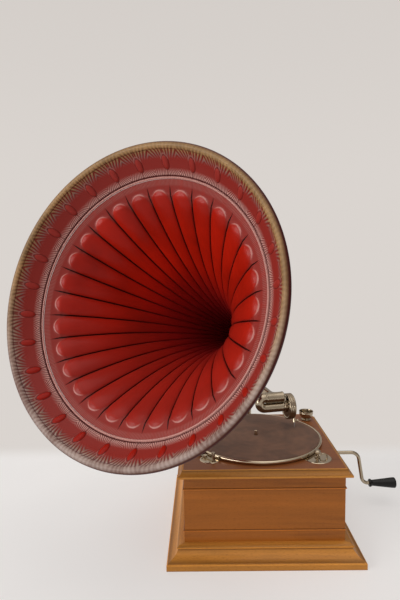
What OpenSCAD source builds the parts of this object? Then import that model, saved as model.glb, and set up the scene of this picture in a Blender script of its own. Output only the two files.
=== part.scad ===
// Table gramophone: wooden case with a spring motor, turntable, swinging tone arm and a
// fluted steel horn on a rear bracket.
// Millimetres. Origin at the centre of the case's underside, +Z up, +X to the crank,
// -Y to the front. The turntable turns about Z through the origin.

/* [Case] */
// Reach of the plinth beyond the body
plinth_out = 36; // [30:1:42]
// Height of the plinth moulding
plinth_h = 41; // [39:0.5:48]
// Height of the plinth's upright face
plinth_face_h = 15.5; // [12:0.5:18]
// Width of the body beyond the turntable, each side
deck_side = 13.5; // [11:0.5:17]
// Thickness of the body panels
panel_t = 12; // [10:0.5:14]
// Height of the body up to the deck's underside
body_h = 182; // [178:1:200]
// Reach of the deck beyond the body
deck_out = 12.5; // [10:0.5:16]
// Thickness of the deck
deck_t = 15.2; // [13:0.2:18]
// Width of the moulding round the deck
deck_edge = 12; // [10:0.5:14]
// Thickness of the bottom board
bottom_t = 10; // [8:0.5:14]
// Height of the two bead mouldings on the body
bead_h = 3.6; // [2.5:0.1:5]
// Height of the lower bead above the plinth
bead_up = 25; // [20:0.5:30]
// Depth of the upper bead below the deck
bead_drop = 27; // [25:0.5:30]
// Side of the square corner blocks
block_w = 22; // [16:1:26]

/* [Turntable] */
// Outer radius of the turntable
platter_r = 152.5; // [147:0.5:156]
// Gap between the deck and the turntable's rim
platter_gap = 1.9; // [1.7:0.1:3]
// Height of the turntable's rim
rim_h = 7.2; // [6.5:0.1:9]
// Thickness of the turntable's pressed steel
platter_t = 1.6; // [1.2:0.1:2]
// Thickness of the felt
felt_t = 1.9; // [1.2:0.1:2.2]
// Radius of the record spindle
spindle_r = 3.6; // [3.5:0.01:3.63]
// Height of the spindle above the turntable's plate
spindle_up = 12.6; // [10:0.2:16]
// Radius of the spindle's shaft below the turntable
shaft_r = 5; // [4.6:0.1:5.6]

/* [Motor] */
// Gap between the deck and the motor, filled by the washers
washer_t = 5; // [4:0.5:7]
// Thickness of the top and bottom plates
plate_t = 5; // [4:0.5:6]
// Gap between the spring barrel and the winding wheel
barrel_gap = 2.2; // [1.5:0.1:6]
// Radius of the pillars
pillar_r = 5; // [4:0.5:6]
// Barrel axis, to the right of the spindle
barrel_x = 45; // [44:0.5:46]
// Crank and barrel axis, behind the spindle
crank_y = 60; // [59:0.5:61]
// Depth of the crank's axis below the deck
crank_drop = 48.3; // [46:0.1:49.5]
// Outer radius of the spring barrel
barrel_r = 40; // [37:0.5:41]
// Height of the spring barrel
barrel_h = 30; // [26:0.5:31]
// Thickness of the mainspring's strip
spring_t = 0.8; // [0.5:0.1:1]
// Turns of the mainspring
spring_turns = 6; // [4:1:7]
// Teeth on the barrel
barrel_teeth = 72;
// Tooth size of the barrel's train
train_module = 1.25;
// Teeth on both pinions of the train
pinion_teeth = 12;
// Teeth on the intermediate wheel
wheel_teeth = 48;
// Teeth on the winding pinion
wind_pinion_teeth = 16;
// Teeth on the winding wheel
wind_wheel_teeth = 32;
// Tooth size of the winding gears
wind_module = 1.5;
// Teeth on the governor wheel
gov_teeth = 36;
// Starts on the governor's worm
worm_starts = 3;
// Radius at which the worm meets its wheel
worm_r = 6; // [5.7:0.1:6.4]
// Depth of the governor's shaft below the deck
gov_drop = 64; // [61:0.5:68]
// Radius of the governor's weights
weight_r = 6; // [4.5:0.5:6.5]
// Radius of the governor's friction disc
disc_r = 16; // [13:0.5:18]

/* [Deck fittings] */
// Speed dial's place, in from the body's right side
dial_side = 47; // [44:0.5:50]
// Speed dial's place, in from the body's front
dial_front = 50; // [47:0.5:53]
// Radius of the speed dial's plate
dial_r = 30; // [26:0.5:32]
// Brake plate's place, in from the body's left side
brake_side = 55; // [52:0.5:57]
// Brake plate's place, in from the body's front
brake_front = 49; // [46:0.5:51]
// Radius of the brake's plate
brake_r = 22; // [20:0.5:24]
// Height of the finger post on the brake lever
post_h = 17; // [12:0.5:20]
// Needle cup's place, in from the body's right side
cup_side = 21; // [19:0.5:22]
// Needle cup's place, in from the body's back
cup_back = 42; // [38:0.5:43]
// Radius of the needle cup's mouth
cup_r = 18.5; // [16:0.5:19]
// Height of the needle cup
cup_h = 24; // [20:0.5:25]

/* [Crank] */
// Radius of the crank's rod
rod_r = 4.4; // [3.8:0.1:4.8]
// Distance between the crank's axis and the grip's
crank_arm = 80; // [70:1:84]
// Distance of the rod's first bend from the spindle
crank_out = 245; // [240:1:255]
// Lean of the crank's arm
crank_lean = 9.5; // [4:0.5:14]
// Length of the grip
grip_len = 66; // [58:1:76]
// Radius of the grip's wide end
grip_r = 14.2; // [12:0.2:16]

/* [Tone arm] */
// Distance from the arm's pivot to the cross sleeve
arm_len = 151.5; // [149:0.5:154]
// Turn of the arm from straight ahead, as it rests
arm_turn = 17.5; // [15:0.5:21]
// Turn of the cross sleeve, as it rests
head_turn = 13; // [11:0.5:15]
// Height of the arm's axis above the felt
arm_up = 75.8; // [73:0.1:78]
// Radius of the arm's wide end
arm_r = 20.5; // [19:0.5:21]
// Radius of the arm's narrow end
arm_tip_r = 11.5; // [10:0.5:12]
// Wall of the arm's tubes
tube_wall = 1.2; // [1:0.1:1.6]
// Radius at the middle of the arm's bend
arm_bend_r = 29; // [27:0.5:32]
// Radius of the gooseneck tube
neck_r = 11; // [10:0.25:11.5]
// Distance between the gooseneck's two legs
neck_drop = 25; // [24:0.25:27]
// Radius of the gooseneck's journal in the sleeve
journal_r = 10; // [9.5:0.1:10.2]
// Length of the cross sleeve
sleeve_len = 46; // [42:1:48]
// Radius of the soundbox
box_r = 31.5; // [28:0.5:33]
// Depth of the soundbox's case
box_depth = 13; // [11:0.5:15]
// Lean of the needle, in the soundbox's plane
needle_lean = 16.5; // [12:0.5:20]

/* [Horn] */
// Radius of the horn's mouth over its rolled rim
mouth_r = 289.5; // [280:0.5:305]
// Distance along the horn from its pivot axis to its mouth
mouth_far = 559.3; // [545:0.1:575]
// Rise of the horn's axis
horn_rise = 16.3; // [14:0.1:20]
// Turn of the horn from straight ahead, as it rests
horn_turn = -27.8; // [-45:0.1:45]
// Number of flutes
flutes = 28; // [24:1:30]
// Thickness of the horn's steel
sheet_t = 1; // [0.8:0.1:1.5]
// Radius of the rolled rim
roll_r = 7; // [5.5:0.5:8]
// Width of the embossed rim band
band_w = 34.2; // [32:0.1:37]
// Depth of the rim band behind the mouth
band_deep = 40.7; // [38:0.1:44]
// Width of the plain apron inside the rim
apron_w = 30.8; // [28:0.1:34]
// Length over which the bell's flare dies away
flare_len = 251; // [247:1:256]
// Radius of the elbow's bend
elbow_bend_r = 70; // [64:1:78]
// Outer radius of the elbow's tube
elbow_r = 21; // [20:0.25:22]

/* [Rear bracket] */
// Distance of the horn's and arm's pivot behind the deck's edge
pivot_back = 10.5; // [9:0.1:12]
// Outer radius of the bracket's head
head_r = 30; // [29:0.5:32]
// Radius of the bracket's arm
stem_r = 11; // [9:0.5:12]
// Width of the bracket's foot
foot_w = 70; // [60:1:90]
// Gap between the bracket's foot and each bead
foot_gap = 4.7; // [3:0.1:8]
// Thickness of the bracket's foot
foot_t = 8; // [6:0.5:12]
// Depth of the cup that holds the horn
cup_deep = 20.9; // [18:0.1:24]

/* [Hidden] */

$fn = 64;

// Clearances
run_gap = 0.05;
near_gap = 0.3;
mitre_gap = 0.05;

// Colours
oak = [0.55, 0.33, 0.15];
oak_dark = [0.42, 0.24, 0.12];
nickel = [0.72, 0.70, 0.64];
steel = [0.50, 0.50, 0.52];
iron = [0.20, 0.21, 0.20];
brass = [0.75, 0.60, 0.30];
horn_red = [0.62, 0.08, 0.04];
band_red = [0.50, 0.20, 0.18];
black = [0.10, 0.10, 0.10];
felt_brown = [0.36, 0.28, 0.20];
rubber_red = [0.40, 0.16, 0.12];

// Levels
body_w = 2 * (platter_r + deck_side);
plinth_w = body_w + 2 * plinth_out;
deck_w = body_w + 2 * deck_out;
bead_low = plinth_h + bead_up;
bead_high = body_h - bead_drop;
dial_x = body_w / 2 - dial_side;
dial_y = body_w / 2 - dial_front;
brake_x = body_w / 2 - brake_side;
brake_y = body_w / 2 - brake_front;
cup_x = body_w / 2 - cup_side;
cup_y = body_w / 2 - cup_back;
deck_top = body_h + deck_t;
rim_low = deck_top + platter_gap;
rim_top = rim_low + rim_h;
felt_top = rim_top + 0.1;
plate_top = felt_top - felt_t;
top_plate_z = body_h - washer_t - plate_t;
crank_z = body_h - crank_drop;
gov_z = body_h - gov_drop;
arm_z = felt_top + arm_up;
needle_tip_z = felt_top + near_gap;
pivot_y = deck_w / 2 + pivot_back;

// Gear train, from its centre distances
function gear_r(teeth, size) = teeth * size / 2;
barrel_to_arbor = gear_r(barrel_teeth + pinion_teeth, train_module);
arbor_to_spindle = gear_r(wheel_teeth + pinion_teeth, train_module);
barrel_to_spindle = norm([barrel_x, crank_y]);
barrel_angle = atan2(crank_y, barrel_x);
arbor_along = (arbor_to_spindle ^ 2 - barrel_to_arbor ^ 2 + barrel_to_spindle ^ 2)
    / (2 * barrel_to_spindle);
arbor_turn = barrel_angle - acos(arbor_along / arbor_to_spindle);
arbor_x = arbor_to_spindle * cos(arbor_turn);
arbor_y = arbor_to_spindle * sin(arbor_turn);
barrel_to_arbor_turn = atan2(arbor_y - crank_y, arbor_x - barrel_x);
wheel_t = 3.5;
great_wheel_t = 5;
arbor_r = 3;
barrel_arbor_r = 5;
wind_r = gear_r(wind_wheel_teeth, wind_module);
wind_pinion_r = gear_r(wind_pinion_teeth, wind_module);
wind_wheel_low = crank_z - wind_pinion_r - 8.5;
barrel_z = wind_wheel_low - 5 - barrel_gap - barrel_h;
great_wheel_z = barrel_z - great_wheel_t;
wheel_z = great_wheel_z - 1.5 - wheel_t;
bottom_plate_z = wheel_z - 2 - plate_t;
wind_face = 5;
wind_shaft_r = 6;
wind_x = barrel_x + wind_r;
shaft_out = body_w / 2 - panel_t - 6;
gov_wheel_r = gear_r(gov_teeth, 1);
gov_y = -(gov_wheel_r + worm_r);
gov_shaft_r = 3;
disc_x = -63;
collar_x = -24;
gov_left = -79;
gov_right = 15;

foot_h = bead_high - bead_low - bead_h - 2 * foot_gap;
foot_mid_z = (bead_high + bead_low) / 2;

// Layout of the pillars and bolts
plate_x0 = -88;
plate_x1 = 100;
plate_y0 = -58;
plate_y1 = 112;
pillar_inset = 8;
pillar_spots = [[plate_x0 + pillar_inset, plate_y0 + pillar_inset],
    [plate_x1 - pillar_inset, plate_y0 + pillar_inset],
    [plate_x0 + pillar_inset, plate_y1 - pillar_inset],
    [plate_x1 - pillar_inset, plate_y1 - pillar_inset]];
bolt_spots = [[-62, -38], [78, -34], [-62, 88], [60, 100]];
bolt_r = 3;

// Tone arm and soundbox
collar_bore = arm_r - tube_wall;
collar_r = arm_r + 1.5;
flange_r = collar_r + 4;
arm_top = arm_z + arm_bend_r;
head_z = arm_top + 2;
ledge_z = head_z + 14;
head_top = ledge_z + cup_deep;
flange_z = ledge_z + near_gap;
flange_t = 4;
box_z = arm_z - neck_drop;
sleeve_x0 = 4.5 - sleeve_len / 2;
sleeve_x1 = 4.5 + sleeve_len / 2;
box_back = sleeve_x1 + 6.5;
box_face = box_back + box_depth;
ring_t = 4;
ring_front = box_face + ring_t;
bar_x = ring_front + 1.5;
diaphragm_x = box_face - 2.5;
chuck_r = 3.4;
needle_reach = (box_z - needle_tip_z) / cos(needle_lean);
chuck_low = needle_reach - 13;
chuck_high = box_r + 1.5;

// Horn
elbow_z = head_top + 4;
elbow_turn = 90 - horn_rise;
elbow_run = elbow_bend_r * tan(elbow_turn / 2);
horn_pivot_z = elbow_z + elbow_run;
spigot_r = flange_r + 0.5;
band_r0 = mouth_r - roll_r - band_w - 6.5;
apron_r = band_r0 - apron_w;
apron_rake = 0.61;
apron_deep = band_deep + apron_rake * apron_w;
bead_back = 2.4;
bell_edge_r = band_r0 - bead_back - 2;
ferrule_len = 30;
joint_far = elbow_run + 0.1;
throat_deep = mouth_far - joint_far;
flare_offset = 19;
flute_full_r = band_r0 - 34;
flute_end_r = band_r0 - 20.5;
flute_depth = 0.16;
dish = 2.5;

// Radius of the bell at a depth: an exponential less an offset
function bell_r(deep) = (apron_r + flare_offset) * exp(-(deep - apron_deep) / flare_len)
    - flare_offset;
// Depth behind the mouth at which the bell has radius r; the apron is a cone
function bell_deep(r) = r > apron_r ? band_deep + apron_rake * (band_r0 - r)
    : apron_deep - flare_len * ln((r + flare_offset) / (apron_r + flare_offset));

// Points of one gear: involute flanks cut short at the root
function involute(base, r) = r <= base ? 0 : sqrt((r / base) ^ 2 - 1) * 180 / PI
    - acos(base / r);
function flank(teeth, size, slack, r) = let (pitch = teeth * size / 2, base = pitch * cos(20))
    90 / teeth - slack / pitch * 90 / PI + involute(base, pitch) - involute(base, max(base, r));
function gear_points(teeth, size, slack) = let (pitch = teeth * size / 2,
        low = pitch - 1.15 * size, high = pitch + 0.85 * size, mid = pitch * 0.995,
        half_low = min(flank(teeth, size, slack, low), 155 / teeth))
    [for (i = [0:teeth - 1], p = [[low, -half_low], [mid, -flank(teeth, size, slack, mid)],
        [high, -flank(teeth, size, slack, high)], [high, flank(teeth, size, slack, high)],
        [mid, flank(teeth, size, slack, mid)], [low, half_low]])
        let (a = i * 360 / teeth + p[1]) [p[0] * cos(a), p[0] * sin(a)]];

module gear(teeth, size, height, turn = 0, slack = 0.3) {
    rotate([0, 0, turn])
        linear_extrude(height)
            polygon(gear_points(teeth, size, slack));
}

module ring_face(outer, inner) {
    difference() {
        circle(r = outer);
        circle(r = inner);
    }
}

module ring(outer, inner, height) {
    difference() {
        cylinder(r = outer, h = height);
        translate([0, 0, -1])
            cylinder(r = inner, h = height + 2);
    }
}

// Four mitred mouldings round a square; the outline's x runs outwards
module mitred(half, reach) {
    for (turn = [0:90:270])
        rotate([0, 0, turn])
            intersection() {
                translate([0, -half, 0])
                    rotate([90, 0, 90])
                        linear_extrude(4 * reach, center = true)
                            mirror([1, 0])
                                children();
                linear_extrude(4 * reach)
                    polygon([[0, -mitre_gap], [2 * reach, -2 * reach - mitre_gap],
                        [-2 * reach, -2 * reach - mitre_gap]]);
            }
}

// Round-head screw standing on z = 0
module screw(head_rad, head_h, shank_r, depth) {
    difference() {
        rotate_extrude()
            intersection() {
                translate([0, head_h - head_rad * 1.6])
                    circle(r = head_rad * 1.6);
                square([head_rad, head_h]);
            }
        translate([-head_rad, -0.4, head_h - 0.8])
            cube([2 * head_rad, 0.8, 2]);
    }
    translate([0, 0, -depth])
        cylinder(r = shank_r, h = depth);
}

// Swept tube: frames is a list of [centre, across, up, radius]; inner gives the bore
function tube_ring(f, sides, cut) = [for (k = [0:sides - 1]) let (a = k * 360 / sides)
    f[0] + (f[3] - cut) * (cos(a) * f[1] + sin(a) * f[2])];
module swept_tube(frames, sides, wall) {
    n = len(frames);
    total = n * sides;
    outer = [for (f = frames) each tube_ring(f, sides, 0)];
    inner = [for (f = frames) each tube_ring(f, sides, wall)];
    skin = [for (i = [0:n - 2], k = [0:sides - 1]) let (a = i * sides + k,
            b = i * sides + (k + 1) % sides, c = a + sides, d = b + sides)
        each [[a, d, b], [a, c, d]]];
    bore = [for (f = skin) [f[0] + total, f[2] + total, f[1] + total]];
    cap0 = [for (k = [0:sides - 1]) let (b = (k + 1) % sides)
        each [[k, b + total, k + total], [k, b, b + total]]];
    last = (n - 1) * sides;
    cap1 = [for (k = [0:sides - 1]) let (a = last + k, b = last + (k + 1) % sides)
        each [[a, b + total, b], [a, a + total, b + total]]];
    polyhedron(concat(outer, inner), concat(skin, bore, cap0, cap1), convexity = 6);
}

// Case

module plinth_outline() {
    out = (plinth_w - body_w) / 2;
    step = 1.8;
    slope_low = plinth_face_h + 4;
    slope_high = plinth_h - 6.5;
    shelf = out * 0.34;
    run = out - step - shelf;
    rise = slope_high - slope_low;
    sag = 3;
    chord = norm([run, rise]);
    arc_r = (chord ^ 2 / 4 + sag ^ 2) / (2 * sag);
    difference() {
        polygon([[0, 0], [out, 0], [out, plinth_face_h], [out - step, plinth_face_h + step],
            [out - step, slope_low], [shelf, slope_high], [shelf, plinth_h - 3],
            [shelf - 3, plinth_h], [0, plinth_h]]);
        translate([out - step - run / 2, slope_low + rise / 2])
            rotate(atan2(rise, -run) - 90)
                translate([arc_r - sag, 0])
                    circle(r = arc_r, $fn = 128);
    }
}

module plinth() {
    color(oak)
        mitred(body_w / 2, plinth_w / 2)
            plinth_outline();
}

module front_panel() {
    color(oak)
        translate([-body_w / 2, -body_w / 2, 0])
            cube([body_w, panel_t, body_h]);
}

module foot_holes(r) {
    for (x = [-1, 1], z = [-1, 1])
        translate([x * (foot_w / 2 - 12), 0, foot_mid_z + z * (foot_h / 2 - 8)])
            rotate([90, 0, 0])
                cylinder(r = r, h = 2 * body_w, center = true);
}

module back_panel() {
    color(oak)
        difference() {
            translate([-body_w / 2, body_w / 2 - panel_t, 0])
                cube([body_w, panel_t, body_h]);
            translate([0, body_w, 0])
                intersection() {
                    foot_holes(2);
                    translate([-body_w, -body_w * 0.9, 0])
                        cube([2 * body_w, body_w, body_h]);
                }
        }
}

module side_panel(side) {
    translate([side * (body_w / 2 - panel_t / 2), 0, body_h / 2])
        cube([panel_t, body_w - 2 * panel_t, body_h], center = true);
}

bush_r = 11.5;
escutcheon_t = 2.5;
escutcheon_r = crank_drop - bead_drop - bead_h / 2 - 0.5;
flange_screw_r = escutcheon_r - 4;

module side_panels() {
    color(oak) {
        side_panel(-1);
        difference() {
            side_panel(1);
            translate([0, crank_y, crank_z]) {
                along_x(bush_r, body_w);
                for (a = [30, 150, 270])
                    rotate([a, 0, 0])
                        translate([body_w / 2 - 8, 0, flange_screw_r])
                            along_x(1.1, 20);
            }
        }
    }
}

module case_beads() {
    color(oak)
        for (z = [bead_low, bead_high])
            translate([0, 0, z - bead_h / 2])
                mitred(body_w / 2, body_w / 2 + bead_h)
                    intersection() {
                        translate([0, bead_h / 2])
                            circle(r = bead_h / 2 + 0.7, $fn = 32);
                        square([bead_h, bead_h]);
                    }
}

module bottom_board() {
    inside = body_w - 2 * panel_t;
    color(oak_dark)
        difference() {
            translate([-inside / 2, -inside / 2, 0])
                cube([inside, inside, bottom_t]);
            for (x = [-1, 1], y = [-1, 1])
                translate([x, y, 0] * (inside / 2 - block_w / 2) - [0, 0, 1])
                    cylinder(r = 4.5, h = 4.5);
            for (x = [-1, 1], y = [-1, 1])
                translate([x, y, 0] * (inside / 2 - block_w / 2))
                    cylinder(r = 2, h = bottom_t + 1);
        }
}

module corner_blocks() {
    inside = body_w / 2 - panel_t;
    color(oak_dark)
        for (turn = [0:90:270])
            rotate([0, 0, turn])
                difference() {
                    translate([inside - block_w, inside - block_w, bottom_t])
                        cube([block_w, block_w, body_h - bottom_t]);
                    translate([inside - block_w / 2, inside - block_w / 2, 0])
                        cylinder(r = 2, h = bottom_t + 18);
                }
}

module case_screws() {
    inside = body_w / 2 - panel_t - block_w / 2;
    color(steel) {
        for (x = [-1, 1], y = [-1, 1])
            translate([x * inside, y * inside, 3])
                rotate([180, 0, 0])
                    screw(4.2, 2.5, 1.9, bottom_t + 12);
        for (x = [-1, 1], z = [-1, 1])
            translate([x * (foot_w / 2 - 12), body_w / 2 + foot_t, foot_mid_z + z * (foot_h / 2 - 8)])
                rotate([-90, 0, 0])
                    screw(5.5, 3, 1.9, foot_t + panel_t - 1);
    }
}

field_w = deck_w - 2 * deck_edge;

module deck_board() {
    color(oak)
        difference() {
            translate([-field_w / 2, -field_w / 2, body_h])
                cube([field_w, field_w, deck_t]);
            translate([0, 0, body_h - 1])
                cylinder(r = shaft_r + 4, h = deck_t + 2);
            for (p = bolt_spots)
                translate([p[0], p[1], body_h - 1])
                    cylinder(r = bolt_r + 0.2, h = deck_t + 2);
            translate([dial_x, -dial_y, body_h - 1])
                cylinder(r = 5, h = deck_t + 2);
            translate([cup_x, cup_y, body_h + deck_t - 10])
                cylinder(r = 1.9, h = 12);
            for (p = concat(dial_screw_spots, brake_screw_spots))
                translate([p[0], p[1], deck_top - 8])
                    cylinder(r = 1.1, h = 10);
            translate([lever_x, lever_y, body_h - 1])
                cylinder(r = 2.5, h = 9);
        }
}

module deck_moulding() {
    color(oak)
        translate([0, 0, body_h])
            mitred(field_w / 2, deck_w / 2)
                difference() {
                    square([deck_edge, deck_t]);
                    translate([deck_edge + 1, deck_t + 0.5])
                        circle(r = min(deck_edge, deck_t) * 0.93, $fn = 96);
                }
}

// Motor frame

module plate_outline(r = 12) {
    x0 = plate_x0 + r;
    x1 = plate_x1 - r;
    y0 = plate_y0 + r;
    y1 = plate_y1 - r;
    translate([x0, plate_y0])
        square([x1 - x0, plate_y1 - plate_y0]);
    translate([plate_x0, y0])
        square([plate_x1 - plate_x0, y1 - y0]);
    for (x = [x0, x1], y = [y0, y1])
        translate([x, y])
            circle(r = r);
}

module pivot_holes(gap = run_gap) {
    circle(r = shaft_r + gap);
    translate([arbor_x, arbor_y])
        circle(r = arbor_r + gap);
    translate([barrel_x, crank_y])
        circle(r = barrel_arbor_r + gap);
}

module motor_top_plate() {
    color(iron)
        translate([0, 0, top_plate_z])
            linear_extrude(plate_t)
                difference() {
                    plate_outline();
                    pivot_holes();
                    for (p = bolt_spots)
                        translate(p)
                            circle(r = bolt_r + 0.2);
                    translate([-36, 34])
                        circle(r = 26);
                }
}

module motor_bottom_plate() {
    color(iron)
        translate([0, 0, bottom_plate_z])
            linear_extrude(plate_t)
                difference() {
                    plate_outline();
                    translate([arbor_x, arbor_y])
                        circle(r = arbor_r + run_gap);
                    translate([barrel_x, crank_y])
                        circle(r = barrel_arbor_r + run_gap);
                    circle(r = shaft_r - 1.5 + run_gap);
                    translate([-40, 20])
                        circle(r = 32);
                }
}

module motor_pillars() {
    h = top_plate_z - bottom_plate_z - plate_t;
    color(steel)
        for (p = pillar_spots)
            translate([p[0], p[1], bottom_plate_z + plate_t])
                rotate_extrude()
                    polygon([[0, 0], [pillar_r + 2, 0], [pillar_r + 2, 5], [pillar_r, 7],
                        [pillar_r, h - 7], [pillar_r + 2, h - 5], [pillar_r + 2, h], [0, h]]);
}

module motor_bolts() {
    grip_h = deck_t + washer_t + plate_t;
    color(steel)
        for (p = bolt_spots)
            translate([p[0], p[1], deck_top]) {
                screw(6, 2.4, bolt_r, grip_h + 5);
                translate([0, 0, -grip_h - 4])
                    cylinder(r = 6, h = 4, $fn = 6);
            }
}

module motor_washers() {
    color(rubber_red)
        for (p = bolt_spots)
            translate([p[0], p[1], body_h - washer_t])
                ring(9, bolt_r + 0.1, washer_t);
}

// Bearing for a shaft along X, hung from the top plate
module drop_bearing(x0, x1, y, z, bore_r, half_w) {
    difference() {
        union() {
            translate([x0, y - half_w, z])
                cube([x1 - x0, 2 * half_w, top_plate_z - z]);
            translate([x0, y, z])
                rotate([0, 90, 0])
                    cylinder(r = half_w, h = x1 - x0);
        }
        translate([x0 - 1, y, z])
            rotate([0, 90, 0])
                cylinder(r = bore_r, h = x1 - x0 + 2);
    }
}

wind_bearing_x = wind_x + wind_face / 2 + 6;
wind_bearing_end = plate_x1 - 2;
lever_x = 30;
lever_y = -92;
lever_t = 3;
lever_z = top_plate_z + 2;

module motor_brackets() {
    color(iron) {
        drop_bearing(wind_bearing_x, wind_bearing_end, crank_y, crank_z,
            wind_shaft_r + run_gap, 11);
        for (x = [gov_left, gov_right])
            drop_bearing(x, x + 5, gov_y, gov_z, gov_shaft_r + run_gap, 7);
    }
    color(steel)
        translate([lever_x, lever_y, lever_z - 2.5]) {
            cylinder(r = 6, h = 2.5 - near_gap);
            cylinder(r = 3, h = body_h - lever_z + 2.5);
            translate([0, 0, lever_t + near_gap + 2.5])
                cylinder(r = 5, h = body_h - lever_z - lever_t - near_gap);
            cylinder(r = 2.4, h = body_h - lever_z + 10);
        }
}

// Moving parts of the motor

module barrel_arbor() {
    color(steel)
        translate([barrel_x, crank_y, bottom_plate_z])
            cylinder(r = barrel_arbor_r, h = top_plate_z + plate_t - bottom_plate_z);
    color(steel)
        translate([barrel_x, crank_y, barrel_z + 2])
            difference() {
                cylinder(r = barrel_arbor_r + 4, h = barrel_h - 4);
                translate([barrel_arbor_r + 3, -1, -1])
                    cube([3, 2, barrel_h]);
            }
}

module winding_wheel() {
    tooth_low = crank_z - wind_pinion_r - 1.7;
    tooth_h = 3;
    inner = wind_r - wind_face / 2;
    color(brass)
        translate([barrel_x, crank_y, 0]) {
            difference() {
                union() {
                    translate([0, 0, wind_wheel_low])
                        cylinder(r = wind_r + wind_face / 2, h = 3);
                    translate([0, 0, wind_wheel_low - 5])
                        cylinder(r = barrel_arbor_r + 5, h = 8);
                    translate([0, 0, wind_wheel_low])
                        ring(wind_r + wind_face / 2, inner, tooth_low - wind_wheel_low);
                    intersection() {
                        translate([0, 0, tooth_low - 1])
                            ring(wind_r + wind_face / 2, inner, tooth_h + 1);
                        for (k = [0:wind_wheel_teeth - 1])
                            rotate([0, 0, k * 360 / wind_wheel_teeth])
                                translate([0, 0, tooth_low - 1])
                                    rotate([90, 0, 90])
                                        linear_extrude(wind_r + wind_face)
                                            polygon([[-1.05, 0], [1.05, 0], [0.6, tooth_h + 1],
                                                [-0.6, tooth_h + 1]]);
                    }
                }
                translate([0, 0, wind_wheel_low - 6])
                    cylinder(r = barrel_arbor_r, h = 20);
            }
        }
}

module winding_shaft() {
    color(steel) {
        difference() {
            union() {
                translate([wind_x - wind_face / 2 - 2, crank_y, crank_z])
                    rotate([0, 90, 0])
                        cylinder(r = wind_shaft_r, h = shaft_out - wind_x + wind_face / 2 + 2);
                translate([wind_x - wind_face / 2, crank_y, crank_z])
                    rotate([0, 90, 0])
                        gear(wind_pinion_teeth, wind_module, wind_face, 180 / wind_pinion_teeth,
                            0.9);
            }
            translate([wind_bearing_end + 6, crank_y, crank_z])
                rotate([0, 90, 0])
                    cylinder(r = rod_r, h = body_w);
        }
    }
}

module barrel_drum() {
    floor_t = 2;
    color(steel)
        translate([barrel_x, crank_y, 0])
            difference() {
                union() {
                    translate([0, 0, great_wheel_z])
                        gear(barrel_teeth, train_module, great_wheel_t, barrel_to_arbor_turn);
                    translate([0, 0, barrel_z - 0.01])
                        cylinder(r = barrel_r, h = barrel_h + 0.01);
                }
                translate([0, 0, barrel_z])
                    cylinder(r = barrel_r - 2, h = barrel_h + 1);
                translate([0, 0, great_wheel_z - 1])
                    cylinder(r = barrel_arbor_r + run_gap, h = great_wheel_t + floor_t + 2);
            }
}

module barrel_cover() {
    color(steel)
        translate([barrel_x, crank_y, barrel_z + barrel_h - 2])
            difference() {
                cylinder(r = barrel_r - 2, h = 2);
                translate([0, 0, -1])
                    cylinder(r = barrel_arbor_r + run_gap, h = 4);
            }
}

// Spiral strip from the arbor's hook out to the barrel's wall
spring_in = barrel_arbor_r + 5.5;
spring_out = barrel_r - 2.05 - spring_t;
function spiral(offset, steps) = [for (i = [0:steps]) let (a = i * 360 * spring_turns / steps,
        r = spring_in + (spring_out - spring_in) * i / steps + offset)
    [r * cos(a), r * sin(a)]];

module mainspring() {
    steps = spring_turns * 24;
    edge = spiral(spring_t, steps);
    color(steel)
        translate([barrel_x, crank_y, barrel_z + 0.5])
            linear_extrude(barrel_h - 3.5)
                polygon(concat(spiral(0, steps), [for (i = [steps:-1:0]) edge[i]]));
}

module intermediate_arbor() {
    pinion_h = great_wheel_z + great_wheel_t - wheel_z - wheel_t;
    color(steel)
        translate([arbor_x, arbor_y, 0]) {
            translate([0, 0, bottom_plate_z])
                cylinder(r = arbor_r, h = top_plate_z + plate_t - bottom_plate_z);
            translate([0, 0, wheel_z + wheel_t])
                gear(pinion_teeth, train_module, pinion_h,
                    barrel_to_arbor_turn + 180 + 180 / pinion_teeth);
        }
}

module intermediate_wheel() {
    color(brass)
        translate([arbor_x, arbor_y, wheel_z])
            difference() {
                gear(wheel_teeth, train_module, wheel_t, arbor_turn + 180);
                translate([0, 0, -1])
                    cylinder(r = arbor_r, h = wheel_t + 2);
                for (a = [0:72:288])
                    rotate([0, 0, a])
                        translate([17, 0, -1])
                            cylinder(r = 6, h = wheel_t + 2);
            }
}

module spindle() {
    cap_z = plate_top + spindle_up;
    color(nickel) {
        rotate_extrude()
            polygon([[0, bottom_plate_z + 0.5], [shaft_r - 1.5, bottom_plate_z + 0.5],
                [shaft_r - 1.5, wheel_z - 1], [shaft_r, wheel_z - 1],
                [shaft_r, plate_top], [spindle_r, plate_top],
                [spindle_r, cap_z - 1.6], [spindle_r - 0.5, cap_z - 0.7],
                [spindle_r - 1.6, cap_z], [0, cap_z]]);
        translate([0, 0, wheel_z - 0.5])
            gear(pinion_teeth, train_module, wheel_t + 2, arbor_turn + 180 / pinion_teeth);
    }
}

module governor_wheel() {
    thick = 2.4;
    color([0.45, 0.28, 0.14])
        translate([0, 0, gov_z])
            difference() {
                union() {
                    translate([0, 0, -thick / 2])
                        gear(gov_teeth, 1, thick, -90, 0.7);
                    translate([0, 0, -4])
                        cylinder(r = 9, h = 8);
                }
                translate([0, 0, -6])
                    cylinder(r = shaft_r, h = 12);
            }
}

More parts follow.
